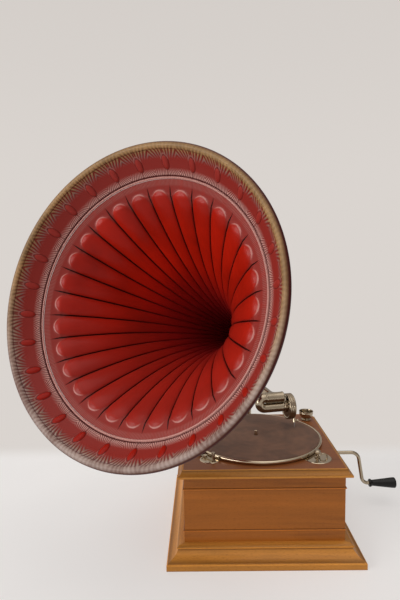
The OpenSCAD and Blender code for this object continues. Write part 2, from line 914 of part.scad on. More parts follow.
// Pressed plate with a boss under it and a rolled rim
module platter() {
    boss_low = deck_top + 1.5;
    web_r = platter_r - 6;
    color(nickel)
        rotate_extrude($fn = 128)
            polygon([[shaft_r, boss_low], [16, boss_low], [18, plate_top - platter_t - 2],
                [22, plate_top - platter_t], [web_r, plate_top - platter_t],
                [web_r + 2.4, plate_top - platter_t - 0.6], [web_r + 2.4, rim_low],
                [platter_r - 1, rim_low], [platter_r, rim_low + 1.4],
                [platter_r, rim_top - 1.6], [platter_r - 0.8, rim_top - 0.4],
                [platter_r - 2, rim_top], [platter_r - 3.4, rim_top - 0.3],
                [platter_r - 4.2, plate_top], [shaft_r, plate_top]]);
}

module felt_mat() {
    color(felt_brown)
        translate([0, 0, plate_top])
            ring(platter_r - 5, spindle_r + 1.2, felt_t);
}

// Governor, on a level shaft beside the spindle

module at_governor() {
    translate([0, gov_y, gov_z])
        rotate([0, 90, 0])
            children();
}

// Outline of the worm: one raised land for each start
worm_root = worm_r - 1.1;
worm_tip = worm_r + 0.7;
worm_points = [for (i = [0:worm_starts - 1], p = [[worm_root, -34], [worm_root, -24],
        [worm_tip, -12], [worm_tip, 12], [worm_root, 24], [worm_root, 34]])
    let (a = i * 360 / worm_starts + 180 / worm_starts + p[1])
    [p[0] * cos(a + 90), p[0] * sin(a + 90)]];
worm_len = 14;

module governor_shaft() {
    lead = worm_starts * PI;
    color(steel)
        at_governor() {
            translate([0, 0, gov_left])
                cylinder(r = gov_shaft_r, h = gov_right + 5 - gov_left);
            translate([0, 0, collar_x])
                ring(6.5, gov_shaft_r - 0.5, 6);
            rotate([0, 0, 180 * worm_len / lead])
                linear_extrude(worm_len, center = true, twist = 360 * worm_len / lead,
                        slices = 20)
                    polygon(worm_points);
        }
}

spring_w = 5;
bow = 13;

module governor_springs() {
    mid = (disc_x + collar_x) / 2;
    strip = 0.5;
    color(steel)
        at_governor()
            for (a = [0:120:240])
                rotate([0, 0, a])
                    translate([0, spring_w / 2, 0])
                        rotate([90, 0, 0])
                            linear_extrude(spring_w)
                                polygon([[6.5, collar_x + 5], [6.5, collar_x],
                                    [bow, mid + 5], [bow, mid - 5],
                                    [6.5, disc_x + 7], [6.5, disc_x + 2],
                                    [6.5 + strip, disc_x + 2], [6.5 + strip, disc_x + 6.6],
                                    [bow + strip, mid - 5.2], [bow + strip, mid + 5.2],
                                    [6.5 + strip, collar_x + 0.2],
                                    [6.5 + strip, collar_x + 5]]);
}

module governor_weights() {
    mid = (disc_x + collar_x) / 2;
    color([0.35, 0.36, 0.38])
        at_governor()
            for (a = [0:120:240])
                rotate([0, 0, a])
                    translate([bow + 0.5 + weight_r * 0.8, 0, mid])
                        intersection() {
                            sphere(r = weight_r, $fn = 48);
                            translate([-weight_r * 0.8, -weight_r, -weight_r])
                                cube(2 * weight_r);
                        }
}

module governor_disc() {
    color(brass)
        at_governor()
            translate([0, 0, disc_x]) {
                ring(disc_r, gov_shaft_r, 2);
                ring(6.5, gov_shaft_r, 8);
            }
}

// Speed regulator

dial_screw_spots = [for (a = [25, 145, 265]) [dial_x + (dial_r - 5) * cos(a),
    -dial_y + (dial_r - 5) * sin(a)]];
knob_stem_r = 4;
pin_r = 1.2;
pin_off = 2.4;
pin_start = -30;
dial_from_lever = atan2(-dial_y - lever_y, dial_x - lever_x);
pin_x = dial_x + pin_off * cos(dial_from_lever + pin_start);
pin_y = -dial_y + pin_off * sin(dial_from_lever + pin_start);
lever_turn = atan2(pin_y - lever_y, pin_x - lever_x);

module dial_plate() {
    color(nickel)
        translate([dial_x, -dial_y, deck_top])
            difference() {
                rotate_extrude()
                    polygon([[knob_stem_r + run_gap, 0], [dial_r, 0], [dial_r, 0.4],
                        [dial_r - 1, 1.2], [knob_stem_r + run_gap, 1.2]]);
                for (p = dial_screw_spots)
                    translate([p[0] - dial_x, p[1] + dial_y, -1])
                        cylinder(r = 1.1, h = 4);
            }
}

module speed_knob() {
    disc_low = body_h - near_gap - 2.5;
    top = deck_top + 1.5;
    color(nickel) {
        translate([dial_x, -dial_y, 0]) {
            rotate_extrude()
                polygon([[0, disc_low], [7, disc_low], [7, body_h - near_gap],
                    [knob_stem_r, body_h - near_gap], [knob_stem_r, top], [6, top],
                    [6, top + 1.6], [3, top + 3], [3, top + 9], [6.4, top + 11],
                    [7.2, top + 12.6], [7, top + 14.6], [4.5, top + 16.6], [0, top + 17.4]]);
            translate([13, 0, top + 0.4])
                rotate([90, 0, 0])
                    rotate_extrude(angle = 180)
                        translate([8, 0])
                            circle(r = 1.2, $fn = 24);
        }
        translate([pin_x, pin_y, lever_z - 1])
            cylinder(r = pin_r, h = disc_low - lever_z + 1);
    }
}

pad_far = disc_x - near_gap;
finger_y = gov_y - disc_r + 6;
finger_w = 6;
finger_front = plate_y0 - 10;

module speed_lever() {
    far = norm([pin_x - lever_x, pin_y - lever_y]);
    corner_x = pad_far - 3 - finger_w / 2;
    corner_y = finger_front + 2.5;
    short_turn = atan2(corner_y - lever_y, corner_x - lever_x);
    short = norm([corner_y - lever_y, corner_x - lever_x]);
    color(steel) {
        difference() {
            translate([lever_x, lever_y, lever_z])
                linear_extrude(lever_t) {
                    circle(r = 7);
                    rotate(lever_turn)
                        translate([0, -4])
                            square([far + 5, 8]);
                    rotate(short_turn)
                        translate([0, -4])
                            square([short + 5, 8]);
                }
            translate([lever_x, lever_y, lever_z - 1])
                cylinder(r = 3 + run_gap, h = lever_t + 2);
            translate([lever_x, lever_y, lever_z - 1])
                rotate([0, 0, lever_turn])
                    translate([far - 4, -pin_r - 0.1, 0])
                        cube([14, 2 * pin_r + 0.2, lever_t + 2]);
        }
        translate([pad_far - 2.5 - finger_w, finger_front + 0.5, gov_z - 2])
            cube([finger_w - 1, 4, lever_z - gov_z + 3]);
        translate([pad_far - 3 - finger_w, finger_front, gov_z - 3])
            cube([finger_w, finger_y - finger_front + 3, 6]);
        translate([pad_far - 3.5, finger_y, gov_z])
            rotate([0, 90, 0])
                cylinder(r = 2.6, h = 3.5);
    }
}

// Brake: plate with a pivot stud, flat lever with a post, leather pad

brake_screw_spots = [for (a = [178, 266]) [-brake_x + (brake_r - 4.5) * cos(a),
    -brake_y + (brake_r - 4.5) * sin(a)]];
stud_x = -brake_x - 10;
stud_y = -brake_y + 8;
stud_far = norm([stud_x, stud_y]);
stud_turn = atan2(stud_y, stud_x);
stud_r = 2.5;
bar_low = deck_top + 1.2 + near_gap;
bar_t = 2;
pad_back = 4;
pad_side = -20;
rim_at_pad = sqrt(platter_r ^ 2 - pad_side ^ 2) - stud_far;

module at_brake() {
    translate([stud_x, stud_y, 0])
        rotate([0, 0, stud_turn])
            children();
}

module brake_plate() {
    color(nickel) {
        difference() {
            translate([-brake_x, -brake_y, deck_top])
                rotate_extrude()
                    polygon([[0, 0], [brake_r, 0], [brake_r, 0.4], [brake_r - 1, 1.2], [0, 1.2]]);
            for (p = brake_screw_spots)
                translate([p[0], p[1], deck_top - 1])
                    cylinder(r = 1.1, h = 4);
        }
        at_brake()
            translate([0, 0, deck_top + 1])
                rotate_extrude()
                    polygon([[0, 0], [stud_r, 0], [stud_r, 0.5 + bar_t + 2 * near_gap],
                        [4.6, 0.5 + bar_t + 2 * near_gap], [4.6, 3.6 + bar_t], [0, 4.4 + bar_t]]);
    }
}

module brake_lever() {
    color(nickel)
        at_brake()
            difference() {
                union() {
                    translate([0, 0, bar_low])
                        cylinder(r = 6, h = bar_t);
                    translate([-3.5, pad_side - 4, bar_low])
                        cube([7, 25.5 - pad_side + 4, bar_t]);
                    translate([0, 25.5, bar_low])
                        cylinder(r = 5, h = bar_t);
                    translate([0, 25.5, bar_low + bar_t - 0.01])
                        rotate_extrude()
                            polygon([[0, 0], [3.6, 0], [3.6, post_h - 4], [4.2, post_h - 3],
                                [4.2, post_h - 1], [3.2, post_h], [0, post_h]]);
                    translate([rim_at_pad + near_gap + pad_back, pad_side - 4, bar_low])
                        cube([3.6 - rim_at_pad - pad_back, 8, rim_h - 2]);
                }
                translate([0, 0, bar_low - 1])
                    cylinder(r = stud_r + run_gap, h = bar_t + 2);
            }
}

module brake_pad() {
    color([0.30, 0.20, 0.13])
        at_brake()
            difference() {
                translate([rim_at_pad - 2, pad_side - 4, bar_low])
                    cube([pad_back + near_gap + 2, 8, rim_h - 2]);
                translate([-stud_far, 0, 0])
                    cylinder(r = platter_r + near_gap, h = 2 * deck_top, $fn = 128);
            }
}

module needle_cup() {
    wall = 1.5;
    color(nickel)
        translate([cup_x, cup_y, deck_top]) {
            rotate_extrude()
                polygon([[0, 0], [9, 0], [11.5, 1], [12, 2.5], [10.5, 3.5], [10, 4.5],
                    [13.5, 8], [16.5, 13], [cup_r - 1.2, cup_h - 1.5], [cup_r, cup_h - 1],
                    [cup_r, cup_h], [cup_r - wall - 0.4, cup_h], [16.5 - wall, 13.6],
                    [12.6, 9.2], [8, 5.8], [0, 5]]);
            translate([0, 0, -9])
                cylinder(r = 1.9, h = 9);
        }
}

// Small screws, with the bracket's thumb screw

module nickel_screws() {
    color(nickel) {
        for (p = concat(dial_screw_spots, brake_screw_spots))
            translate([p[0], p[1], deck_top + 1.2])
                screw(2.2, 1.1, 1.1, 8);
        for (a = [30, 150, 270])
            translate([body_w / 2 + escutcheon_t, crank_y, crank_z])
                rotate([a, 0, 0])
                    translate([0, 0, flange_screw_r])
                        rotate([0, 90, 0])
                            screw(2.4, 1.3, 1.1, escutcheon_t + 6);
        translate([head_r, pivot_y, ledge_z + 10])
            rotate([0, 90, 0]) {
                cylinder(r = 3.5, h = 5);
                translate([0, 0, 5])
                    cylinder(r = 8, h = 4);
                translate([0, 0, 9])
                    cylinder(r = 2, h = 1);
            }
    }
}

module crank_escutcheon() {
    color(nickel)
        translate([body_w / 2, crank_y, crank_z])
            rotate([0, 90, 0])
                difference() {
                    rotate_extrude()
                        polygon([[rod_r + 0.4, -panel_t], [bush_r, -panel_t], [bush_r, 0],
                            [escutcheon_r, 0], [escutcheon_r, 1], [escutcheon_r - 1.5, 2.5],
                            [11, 2.5], [9.8, 4.5], [rod_r + 0.4, 4.5]]);
                    for (a = [30, 150, 270])
                        rotate([0, 0, a + 180])
                            translate([flange_screw_r, 0, -1])
                                cylinder(r = 1.1, h = 5);
                }
}

// Crank: one bend out and one bend back in one plane
bend_turn = 90 - crank_lean;
bend_1 = 20;
bend_2 = 16;
lean_len = (crank_arm - (bend_1 + bend_2) * (1 - cos(bend_turn))) / sin(bend_turn);
crank_end_x = crank_out + (bend_1 + bend_2) * sin(bend_turn) + lean_len * cos(bend_turn);
grip_x = crank_end_x + 2;
grip_pin_r = 4;
grip_z = crank_z - crank_arm;
bent_r = rod_r - 0.03;

module bend_down(radius, angle, r) {
    translate([0, 0, -radius])
        rotate([-90, -90, 0])
            rotate_extrude(angle = angle)
                translate([radius, 0])
                    circle(r = r);
}

module along_x(r, h) {
    rotate([0, 90, 0])
        cylinder(r = r, h = h);
}

module crank_rod() {
    start = wind_bearing_end + 8;
    collar = grip_x - crank_end_x - near_gap;
    tail = grip_x - crank_end_x + grip_len - 1.6;
    color(nickel) {
        translate([start, crank_y, crank_z])
            along_x(rod_r, crank_out - start);
        translate([crank_out, crank_y, crank_z]) {
            bend_down(bend_1, bend_turn, bent_r);
            translate([bend_1 * sin(bend_turn), 0, -bend_1 * (1 - cos(bend_turn))])
                rotate([0, bend_turn, 0]) {
                    along_x(rod_r, lean_len);
                    translate([lean_len, 0, 0])
                        mirror([0, 0, 1])
                            bend_down(bend_2, bend_turn, bent_r);
                }
        }
        translate([crank_end_x, crank_y, grip_z])
            rotate([0, 90, 0])
                rotate_extrude()
                    polygon([[0, 0], [rod_r, 0], [rod_r, collar], [grip_pin_r, collar],
                        [grip_pin_r, tail - 1.4], [6, tail - 1.4], [6, tail - 0.4],
                        [5, tail], [0, tail]]);
    }
}

module crank_grip() {
    bore = grip_pin_r + run_gap;
    len = grip_len;
    color(black)
        translate([grip_x, crank_y, grip_z])
            rotate([0, 90, 0])
                rotate_extrude()
                    polygon([[bore, 0], [7.5, 0], [9.7, 1.4], [9.7, 4.6], [7.6, 6.6],
                        [7.4, 9.5], [grip_r - 1.4, len * 0.9], [grip_r - 1.2, len - 2],
                        [grip_r - 2.6, len], [6.4, len], [6.4, len - 3.5], [bore, len - 3.5]]);
}

// Rear bracket: foot, curved arm and the head for tone arm and horn

module rear_bracket() {
    foot_y = body_w / 2;
    low_z = foot_mid_z + 18;
    run_1 = 40;
    run_2 = 34;
    back_y = pivot_y + head_r + 1.5 + stem_r - 1;
    high_z = head_top - stem_r - 1.5;
    color(nickel)
        difference() {
            union() {
                translate([-foot_w / 2, foot_y, foot_mid_z - foot_h / 2])
                    cube([foot_w, foot_t, foot_h]);
                translate([0, foot_y + foot_t / 2, low_z])
                    rotate([-90, 0, 0])
                        cylinder(r = stem_r, h = back_y - run_1 - foot_y - foot_t / 2);
                translate([0, back_y - run_1, low_z + run_1])
                    rotate([90, 0, 90])
                        rotate([0, 0, -90])
                            rotate_extrude(angle = 90)
                                translate([run_1, 0])
                                    circle(r = stem_r - 0.05);
                translate([0, back_y, low_z + run_1])
                    cylinder(r = stem_r, h = high_z - run_2 - low_z - run_1);
                translate([0, back_y - run_2, high_z - run_2])
                    rotate([90, 0, 90])
                        rotate_extrude(angle = 90)
                            translate([run_2, 0])
                                circle(r = stem_r - 0.05);
                translate([0, pivot_y, high_z])
                    rotate([-90, 0, 0])
                        cylinder(r = stem_r, h = back_y - run_2 - pivot_y);
                translate([0, pivot_y, head_z])
                    rotate_extrude()
                        polygon([[0, 0], [head_r - 2, 0], [head_r, 2],
                            [head_r, head_top - head_z - 1.5],
                            [head_r - 1.5, head_top - head_z], [0, head_top - head_z]]);
            }
            translate([0, pivot_y, 0]) {
                translate([0, 0, head_z - 1])
                    cylinder(r = collar_r + run_gap, h = 200);
                translate([0, 0, ledge_z])
                    cylinder(r = spigot_r + run_gap, h = 200);
            }
            translate([0, 4 * body_w / 8, 0])
                foot_holes(2);
            translate([head_r - 10, pivot_y, ledge_z + 10])
                along_x(2, 20);
        }
}

// Tone arm

module at_arm() {
    translate([0, pivot_y, 0])
        rotate([0, 0, arm_turn])
            children();
}

module at_head() {
    at_arm()
        translate([0, -arm_len, arm_z])
            rotate([0, 0, head_turn - arm_turn])
                children();
}

module tonearm_collar() {
    color(nickel)
        at_arm()
            rotate_extrude()
                polygon([[collar_bore, arm_top], [collar_r, arm_top], [collar_r, flange_z],
                    [flange_r, flange_z], [flange_r, flange_z + flange_t],
                    [collar_bore, flange_z + flange_t]]);
}

stub_len = 15;
stub_r = arm_tip_r + 1;

function arm_radius(t) = arm_r + (arm_tip_r - arm_r) * t;

module tonearm_tube() {
    tip_y = -(arm_len - stub_len);
    total = arm_bend_r * PI / 2 + (-tip_y - arm_bend_r);
    bend = [for (i = [0:8]) let (a = i * 90 / 8, along = arm_bend_r * a * PI / 180)
        [[0, -arm_bend_r * (1 - cos(a)), arm_top - arm_bend_r * sin(a)], [1, 0, 0],
            [0, -cos(a), sin(a)], arm_radius(along / total)]];
    straight = [for (i = [1:5]) let (y = -arm_bend_r + (tip_y + arm_bend_r) * i / 5,
            along = arm_bend_r * PI / 2 - y - arm_bend_r)
        [[0, y, arm_z], [1, 0, 0], [0, 0, 1], arm_radius(along / total)]];
    color(nickel)
        at_arm()
            swept_tube(concat(bend, straight), 40, tube_wall);
}

module tonearm_sleeve() {
    bore = journal_r + run_gap;
    outer = bore + 1.45;
    color(nickel)
        at_head()
            difference() {
                union() {
                    translate([sleeve_x0, 0, 0])
                        rotate([0, 90, 0])
                            rotate_extrude()
                                polygon([[0, 0], [outer + 0.8, 0], [outer + 0.8, 2.5], [outer, 3.5],
                                    [outer, sleeve_len - 4], [outer + 1.5, sleeve_len - 3],
                                    [outer + 1.5, sleeve_len - 0.6], [outer, sleeve_len],
                                    [0, sleeve_len]]);
                    rotate([0, 0, arm_turn - head_turn])
                        rotate([-90, 0, 0])
                            cylinder(r = stub_r, h = stub_len);
                }
                translate([sleeve_x0 - 1, 0, 0])
                    along_x(bore, sleeve_len - 1.5);
                rotate([0, 0, arm_turn - head_turn])
                    rotate([-90, 0, 0])
                        cylinder(r = arm_tip_r - tube_wall, h = stub_len + 1);
            }
}

module gooseneck() {
    bend_r = neck_drop / 2;
    bore = neck_r - 1.4;
    low_start = sleeve_x0 - 2;
    color(nickel)
        at_head() {
            difference() {
                union() {
                    translate([low_start, 0, 0])
                        along_x(neck_r, 2 - near_gap);
                    translate([low_start, 0, 0])
                        along_x(journal_r, sleeve_len - 3);
                }
                translate([low_start - 1, 0, 0])
                    along_x(journal_r - 1.4, sleeve_len);
                rotate([-90, 0, 0])
                    cylinder(r = 7, h = 20);
            }
            translate([low_start, 0, -bend_r])
                rotate([90, 0, 0])
                    rotate([0, 0, 90])
                        rotate_extrude(angle = 180)
                            translate([bend_r, 0])
                                difference() {
                                    circle(r = neck_r);
                                    circle(r = bore);
                                }
            translate([low_start, 0, -neck_drop])
                rotate([0, 90, 0])
                    ring(neck_r, bore, box_back - low_start);
        }
}

module at_box() {
    at_head()
        translate([0, 0, -neck_drop])
            children();
}

module soundbox_case() {
    color(nickel)
        at_box()
            translate([box_back, 0, 0])
                rotate([0, 90, 0])
                    rotate_extrude()
                        polygon([[neck_r, -6], [neck_r + 2.5, -6], [neck_r + 3.5, -4.5],
                            [neck_r + 3.5, 0], [box_r - 1.5, 0], [box_r, 1.5],
                            [box_r, box_depth], [box_r - 3, box_depth], [box_r - 3, 3],
                            [neck_r - 1.4, 3], [neck_r - 1.4, 0], [neck_r, 0]]);
}

module soundbox_ring() {
    color(nickel)
        at_box()
            translate([box_face, 0, 0])
                rotate([0, 90, 0])
                    rotate_extrude()
                        polygon([[box_r - 7.5, 0], [box_r, 0], [box_r, ring_t - 1.5],
                            [box_r - 1.5, ring_t], [box_r - 5.5, ring_t], [box_r - 7.5, 1.5]]);
}

module soundbox_gaskets() {
    inner = box_r - 6.5;
    color([0.55, 0.52, 0.46])
        at_box()
            rotate([0, 90, 0]) {
                translate([0, 0, diaphragm_x - 2.2])
                    ring(box_r - 3, inner, 2);
                translate([0, 0, diaphragm_x + 0.2])
                    ring(box_r - 3, inner, box_face - diaphragm_x - 0.2);
            }
}

module diaphragm() {
    color([0.80, 0.78, 0.72])
        at_box()
            translate([diaphragm_x - 0.2, 0, 0])
                along_x(box_r - 3.3, 0.4);
}

module at_needle() {
    at_box()
        translate([bar_x, 0, 0])
            rotate([-needle_lean, 0, 0])
                rotate([180, 0, 0])
                    children();
}

module needle_bar() {
    color(nickel)
        at_needle() {
            difference() {
                union() {
                    translate([-0.8, -2, 0])
                        cube([1.6, 4, box_r + 2]);
                    translate([0, 0, chuck_high - 1.4])
                        cylinder(r = chuck_r, h = chuck_low - chuck_high + 1.4);
                    translate([ring_front - bar_x, -6, box_r - 5])
                        cube([2.7, 12, 4.5]);
                }
                translate([0, 0, chuck_low - 6])
                    cylinder(r = 0.8, h = 10);
            }
            translate([diaphragm_x + 0.2 - bar_x, 0, 0])
                along_x(1.2, bar_x - diaphragm_x - 0.2 + 1.6);
        }
}

module needle_screw() {
    mid = (chuck_high + chuck_low) / 2;
    color(nickel)
        at_needle()
            translate([chuck_r + 0.05, 0, mid]) {
                along_x(1.3, 3);
                translate([3, 0, 0])
                    rotate([0, 90, 0])
                        difference() {
                            cylinder(r = 3.2, h = 4.5);
                            for (a = [0:30:330])
                                rotate([0, 0, a])
                                    translate([3.4, 0, -1])
                                        cylinder(r = 0.45, h = 7, $fn = 16);
                        }
            }
}

module needle() {
    color(steel)
        at_needle()
            translate([0, 0, chuck_low - 6])
                rotate_extrude()
                    polygon([[0, 0], [0.75, 0], [0.75, needle_reach - chuck_low + 1],
                        [0.15, needle_reach - chuck_low + 6], [0, needle_reach - chuck_low + 6]]);
}

// Horn: all on its own axis, +Z running out to the mouth

module at_horn() {
    translate([0, pivot_y, horn_pivot_z])
        rotate([90 - horn_rise, 0, horn_turn])
            children();
}

module horn_elbow() {
    wall = 1.4;
    spigot_low = flange_z + flange_t + 0.5;
    color(horn_red) {
        translate([0, pivot_y, 0])
            rotate([0, 0, -90 + horn_turn])
                translate([elbow_bend_r, 0, elbow_z])
                    rotate([90, 0, 0]) rotate([0, 0, 180 - elbow_turn])
                        rotate_extrude(angle = elbow_turn + 1.8)
                            translate([elbow_bend_r, 0])
                                ring_face(elbow_r - 0.05, elbow_r - wall + 0.05);
        translate([0, pivot_y, 0])
            rotate_extrude()
                polygon([[elbow_r - wall, spigot_low], [spigot_r, spigot_low],
                    [spigot_r, head_top + near_gap], [head_r - 1, head_top + near_gap],
                    [head_r - 1, elbow_z - 1], [head_r - 2.5, elbow_z],
                    [elbow_r - wall, elbow_z]]);
    }
}

function bell_out(far) = bell_r(mouth_far - far) + sheet_t + 0.65;

module horn_ferrule() {
    end = joint_far + 26;
    seat = joint_far + 4;
    bore = elbow_r + 0.2;
    over = max(0, throat_r + sheet_t - elbow_r);
    color(horn_red)
        at_horn()
            rotate_extrude()
                polygon([[bore, joint_far - 2], [elbow_r + 2 + over, joint_far - 2],
                    [elbow_r + 3 + over, joint_far], [elbow_r + 2.6 + over, joint_far + 3],
                    [bell_out(end - 12) + 1.6, end - 12], [bell_out(end) + 1.2, end - 3],
                    [bell_out(end) + 1.6, end], [bell_out(end), end],
                    [bell_out(end - 12), end - 12], [max(bore, bell_out(seat)), seat],
                    [bore + over, seat - 3 - min(2, 4 * over)]]);
}

// One ring of the bell: each flute stands proud between two seams
throat_r = bell_r(throat_deep);
bell_radii = [throat_r, for (t = [0.05, 0.11, 0.19, 0.3, 0.44, 0.6, 0.76, 0.89])
    throat_r + (apron_r - throat_r) * t, flute_full_r, for (t = [0.5, 0.87, 1])
    flute_full_r + (flute_end_r - flute_full_r) * t, bell_edge_r];
per_flute = 6;
first_seam = -0.38;
function flute_rise(r) = flute_depth * 2 * PI * r / flutes
    * sqrt(1 - min(1, max(0, (r - flute_full_r) / (flute_end_r - flute_full_r))) ^ 2);
function bell_ring(r, cut) = let (deep = bell_deep(r), rise = flute_rise(r),
        slope = r > apron_r ? 1 / apron_rake : (r + flare_offset) / flare_len,
        n = sqrt(1 + slope ^ 2))
    [for (k = [0:flutes * per_flute - 1]) let (a = (k / per_flute + first_seam) * 360 / flutes,
            lift = rise * sin(180 * (k % per_flute) / per_flute))
        [(r + (cut - lift) / n) * cos(a), (r + (cut - lift) / n) * sin(a),
            mouth_far - deep - (cut - lift) * slope / n]];

module horn_bell() {
    sides = flutes * per_flute;
    rings = len(bell_radii);
    total = sides * rings;
    inner = [for (r = bell_radii) each bell_ring(r, 0)];
    outer = [for (r = bell_radii) each bell_ring(r, sheet_t)];
    skin = [for (i = [0:rings - 2], k = [0:sides - 1]) let (a = i * sides + k,
            b = i * sides + (k + 1) % sides, c = a + sides, d = b + sides)
        each [[a, b, d], [a, d, c]]];
    back = [for (f = skin) [f[0] + total, f[2] + total, f[1] + total]];
    cap0 = [for (k = [0:sides - 1]) let (b = (k + 1) % sides)
        each [[k, k + total, b + total], [k, b + total, b]]];
    last = (rings - 1) * sides;
    cap1 = [for (k = [0:sides - 1]) let (a = last + k, b = last + (k + 1) % sides)
        each [[a, b, b + total], [a, b + total, a + total]]];
    color(horn_red)
        at_horn()
            polyhedron(concat(inner, outer), concat(skin, back, cap0, cap1), convexity = 8);
}

// Rim: ridge bead, dished band and rolled edge, revolved
band_r1 = band_r0 + band_w;
band_deep1 = -1;
band_len = norm([band_w, band_deep - band_deep1]);
band_out = [(band_deep - band_deep1) / band_len, band_w / band_len];
function band_point(t, cut) = [band_r0 + band_w * t, 0]
    + (dish * 4 * t * (1 - t) + cut) * [band_out[0], 0]
    + [0, mouth_far - (band_deep + (band_deep1 - band_deep) * t)
        - (dish * 4 * t * (1 - t) + cut) * band_out[1]];

module horn_rim() {
    steps = 12;
    bead = [band_r0 - bead_back, mouth_far - band_deep - apron_rake * bead_back];
    color(band_red)
        at_horn() {
            rotate_extrude($fn = 168)
                polygon(concat([bead + [0, 0.3]], [for (i = [0:steps]) band_point(i / steps, 0)],
                    [for (i = [steps:-1:0]) band_point(i / steps, sheet_t)], [bead - [0, 0.8]]));
            rotate_extrude($fn = 168)
                translate(bead)
                    circle(r = 2, $fn = 32);
            rotate_extrude($fn = 168)
                translate([mouth_r - roll_r, mouth_far])
                    difference() {
                        circle(r = roll_r, $fn = 48);
                        circle(r = roll_r - sheet_t, $fn = 48);
                        translate([-2.4, -roll_r - 1])
                            square([1.8, 4]);
                    }
        }
}

// Oval bosses on the band, one over each seam
boss_len = 27;
boss_w = 13;
boss_h = 2;
module boss() {
    full = (boss_w ^ 2 / 4 + boss_h ^ 2) / (2 * boss_h);
    arc_r = (boss_len ^ 2 / 4 + boss_h ^ 2) / (2 * boss_h);
    intersection() {
        translate([0, 0, boss_h - full])
            rotate([0, 90, 0])
                rotate_extrude($fn = 200)
                    intersection() {
                        translate([full - arc_r, 0])
                            circle(r = arc_r, $fn = 360);
                        translate([0, -boss_len])
                            square([full + 1, 2 * boss_len]);
                    }
        translate([-boss_len, -boss_w, 0])
            cube([2 * boss_len, 2 * boss_w, boss_h + 1]);
    }
}

module rim_bosses() {
    lift = dish * (boss_len / band_len) ^ 2 + boss_w ^ 2 / 8 / band_r0 + 0.05;
    mid = band_point(0.47, -lift);
    lean = atan2(band_out[0], band_out[1]);
    color(band_red)
        at_horn()
            for (i = [0:flutes - 1])
                rotate([0, 0, (i + first_seam) * 360 / flutes])
                    translate([mid[0], 0, mid[1]])
                        rotate([0, -lean, 0])
                            boss();
}

plinth();
front_panel();
back_panel();
side_panels();
case_beads();
bottom_board();
deck_board();
deck_moulding();
corner_blocks();
case_screws();
crank_escutcheon();
nickel_screws();
motor_top_plate();
motor_bottom_plate();
motor_pillars();
motor_bolts();
motor_washers();
motor_brackets();
dial_plate();
speed_knob();
speed_lever();
brake_plate();
brake_lever();
brake_pad();
needle_cup();
crank_rod();
winding_shaft();
crank_grip();
barrel_arbor();
winding_wheel();
barrel_drum();
barrel_cover();
mainspring();
intermediate_arbor();
intermediate_wheel();
spindle();
governor_wheel();
platter();
felt_mat();
governor_shaft();
governor_weights();
governor_springs();
governor_disc();
rear_bracket();
tonearm_collar();
tonearm_tube();
tonearm_sleeve();
gooseneck();
soundbox_case();
soundbox_ring();
soundbox_gaskets();
diaphragm();
needle_bar();
needle_screw();
needle();
horn_elbow();
horn_ferrule();
horn_bell();
horn_rim();
rim_bosses();
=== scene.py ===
"""Looks of a table gramophone with a fluted horn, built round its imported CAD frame.

The file is laid out as an add-on: settings, one operator for each piece or group of like
pieces, and a panel. It is run as a script. Shapes are worked out in millimetres round their
own axis and turned into the frame's metres at the end.
"""

import math

import bmesh
import bpy
import numpy as np
from bpy.props import FloatProperty, FloatVectorProperty, IntProperty, PointerProperty
from mathutils import Euler, Matrix, Vector


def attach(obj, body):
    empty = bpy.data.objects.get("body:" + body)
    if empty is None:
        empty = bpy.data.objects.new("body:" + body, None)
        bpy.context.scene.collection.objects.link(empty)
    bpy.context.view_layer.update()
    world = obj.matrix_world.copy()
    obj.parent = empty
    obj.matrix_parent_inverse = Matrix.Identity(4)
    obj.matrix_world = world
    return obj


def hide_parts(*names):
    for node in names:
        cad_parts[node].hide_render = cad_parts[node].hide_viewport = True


bl_info = {
    "name": "Horn gramophone",
    "version": (1, 0, 0),
    "blender": (4, 5, 0),
    "location": "View3D > Sidebar > Gramophone",
    "description": "Builds the looks of a table gramophone round its CAD frame",
    "category": "Object",
}

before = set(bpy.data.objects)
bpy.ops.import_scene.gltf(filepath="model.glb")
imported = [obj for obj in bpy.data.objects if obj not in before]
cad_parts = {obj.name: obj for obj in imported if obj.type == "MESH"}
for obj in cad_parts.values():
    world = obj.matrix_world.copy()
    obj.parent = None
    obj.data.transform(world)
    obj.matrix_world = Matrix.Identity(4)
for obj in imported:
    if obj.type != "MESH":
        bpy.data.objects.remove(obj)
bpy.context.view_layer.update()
MM = 0.001

# Measured form of the horn, in millimetres: phase of its first seam, half width of a seam,
# radii between which the flutes run out and at which the seams end, a flute's share of the
# pitch, the apron's rake, the throat's radius, and the bosses' place and half axes on the band
FIRST_SEAM = -0.38
SEAM_WIDTH = 1.4
FLUTE_FULL, FLUTE_END, SEAM_END = 194.0, 221.5, 230.0
TIP_SHARE = 0.95
APRON_RAKE, FLARE_OFFSET = 0.61, 19.0
THROAT = 19.8
BOSS_AT, BOSS_LONG, BOSS_WIDE = 26.0, 14.0, 6.6

# Milled lines on the apron for each flute. The band's ribs fan out from a point this far behind
# a boss's middle, and their phase grows by so much for each radian, inside and outside it
MILLED = 18
FAN_FROM = 22.0
RIBS_INSIDE, RIBS_OUTSIDE = 76, 48

# Beads' distances above the plinth and below the deck, in millimetres
BEADS_AT = (25, 27)

# Millimetres between two mitred ends, and how far the grain is shifted from side to side
MITRE_GAP = 0.05
GRAIN_SHIFT = (1.37, 0.61)

# Places in millimetres: needle cup and the arm's pivot in the frame, and along the cross
# sleeve its middle and how far the gooseneck's legs reach past its two ends
CUP_AT = (145, 124, 197.2)
ARM_PIVOT = (0, 189, 0)
SLEEVE_AT, NECK_LEFT, NECK_RIGHT = 4.5, 2.0, 6.5
SIDEWAYS = Matrix.Rotation(math.pi / 2, 4, "Y")

# Fitted camera: place in metres; yaw to the right, pitch down and roll in radians
CAMERA_AT = (-0.1207, -1.1281, 0.6407)
CAMERA_TURN = (-0.0071, 0.0985, -0.0134)

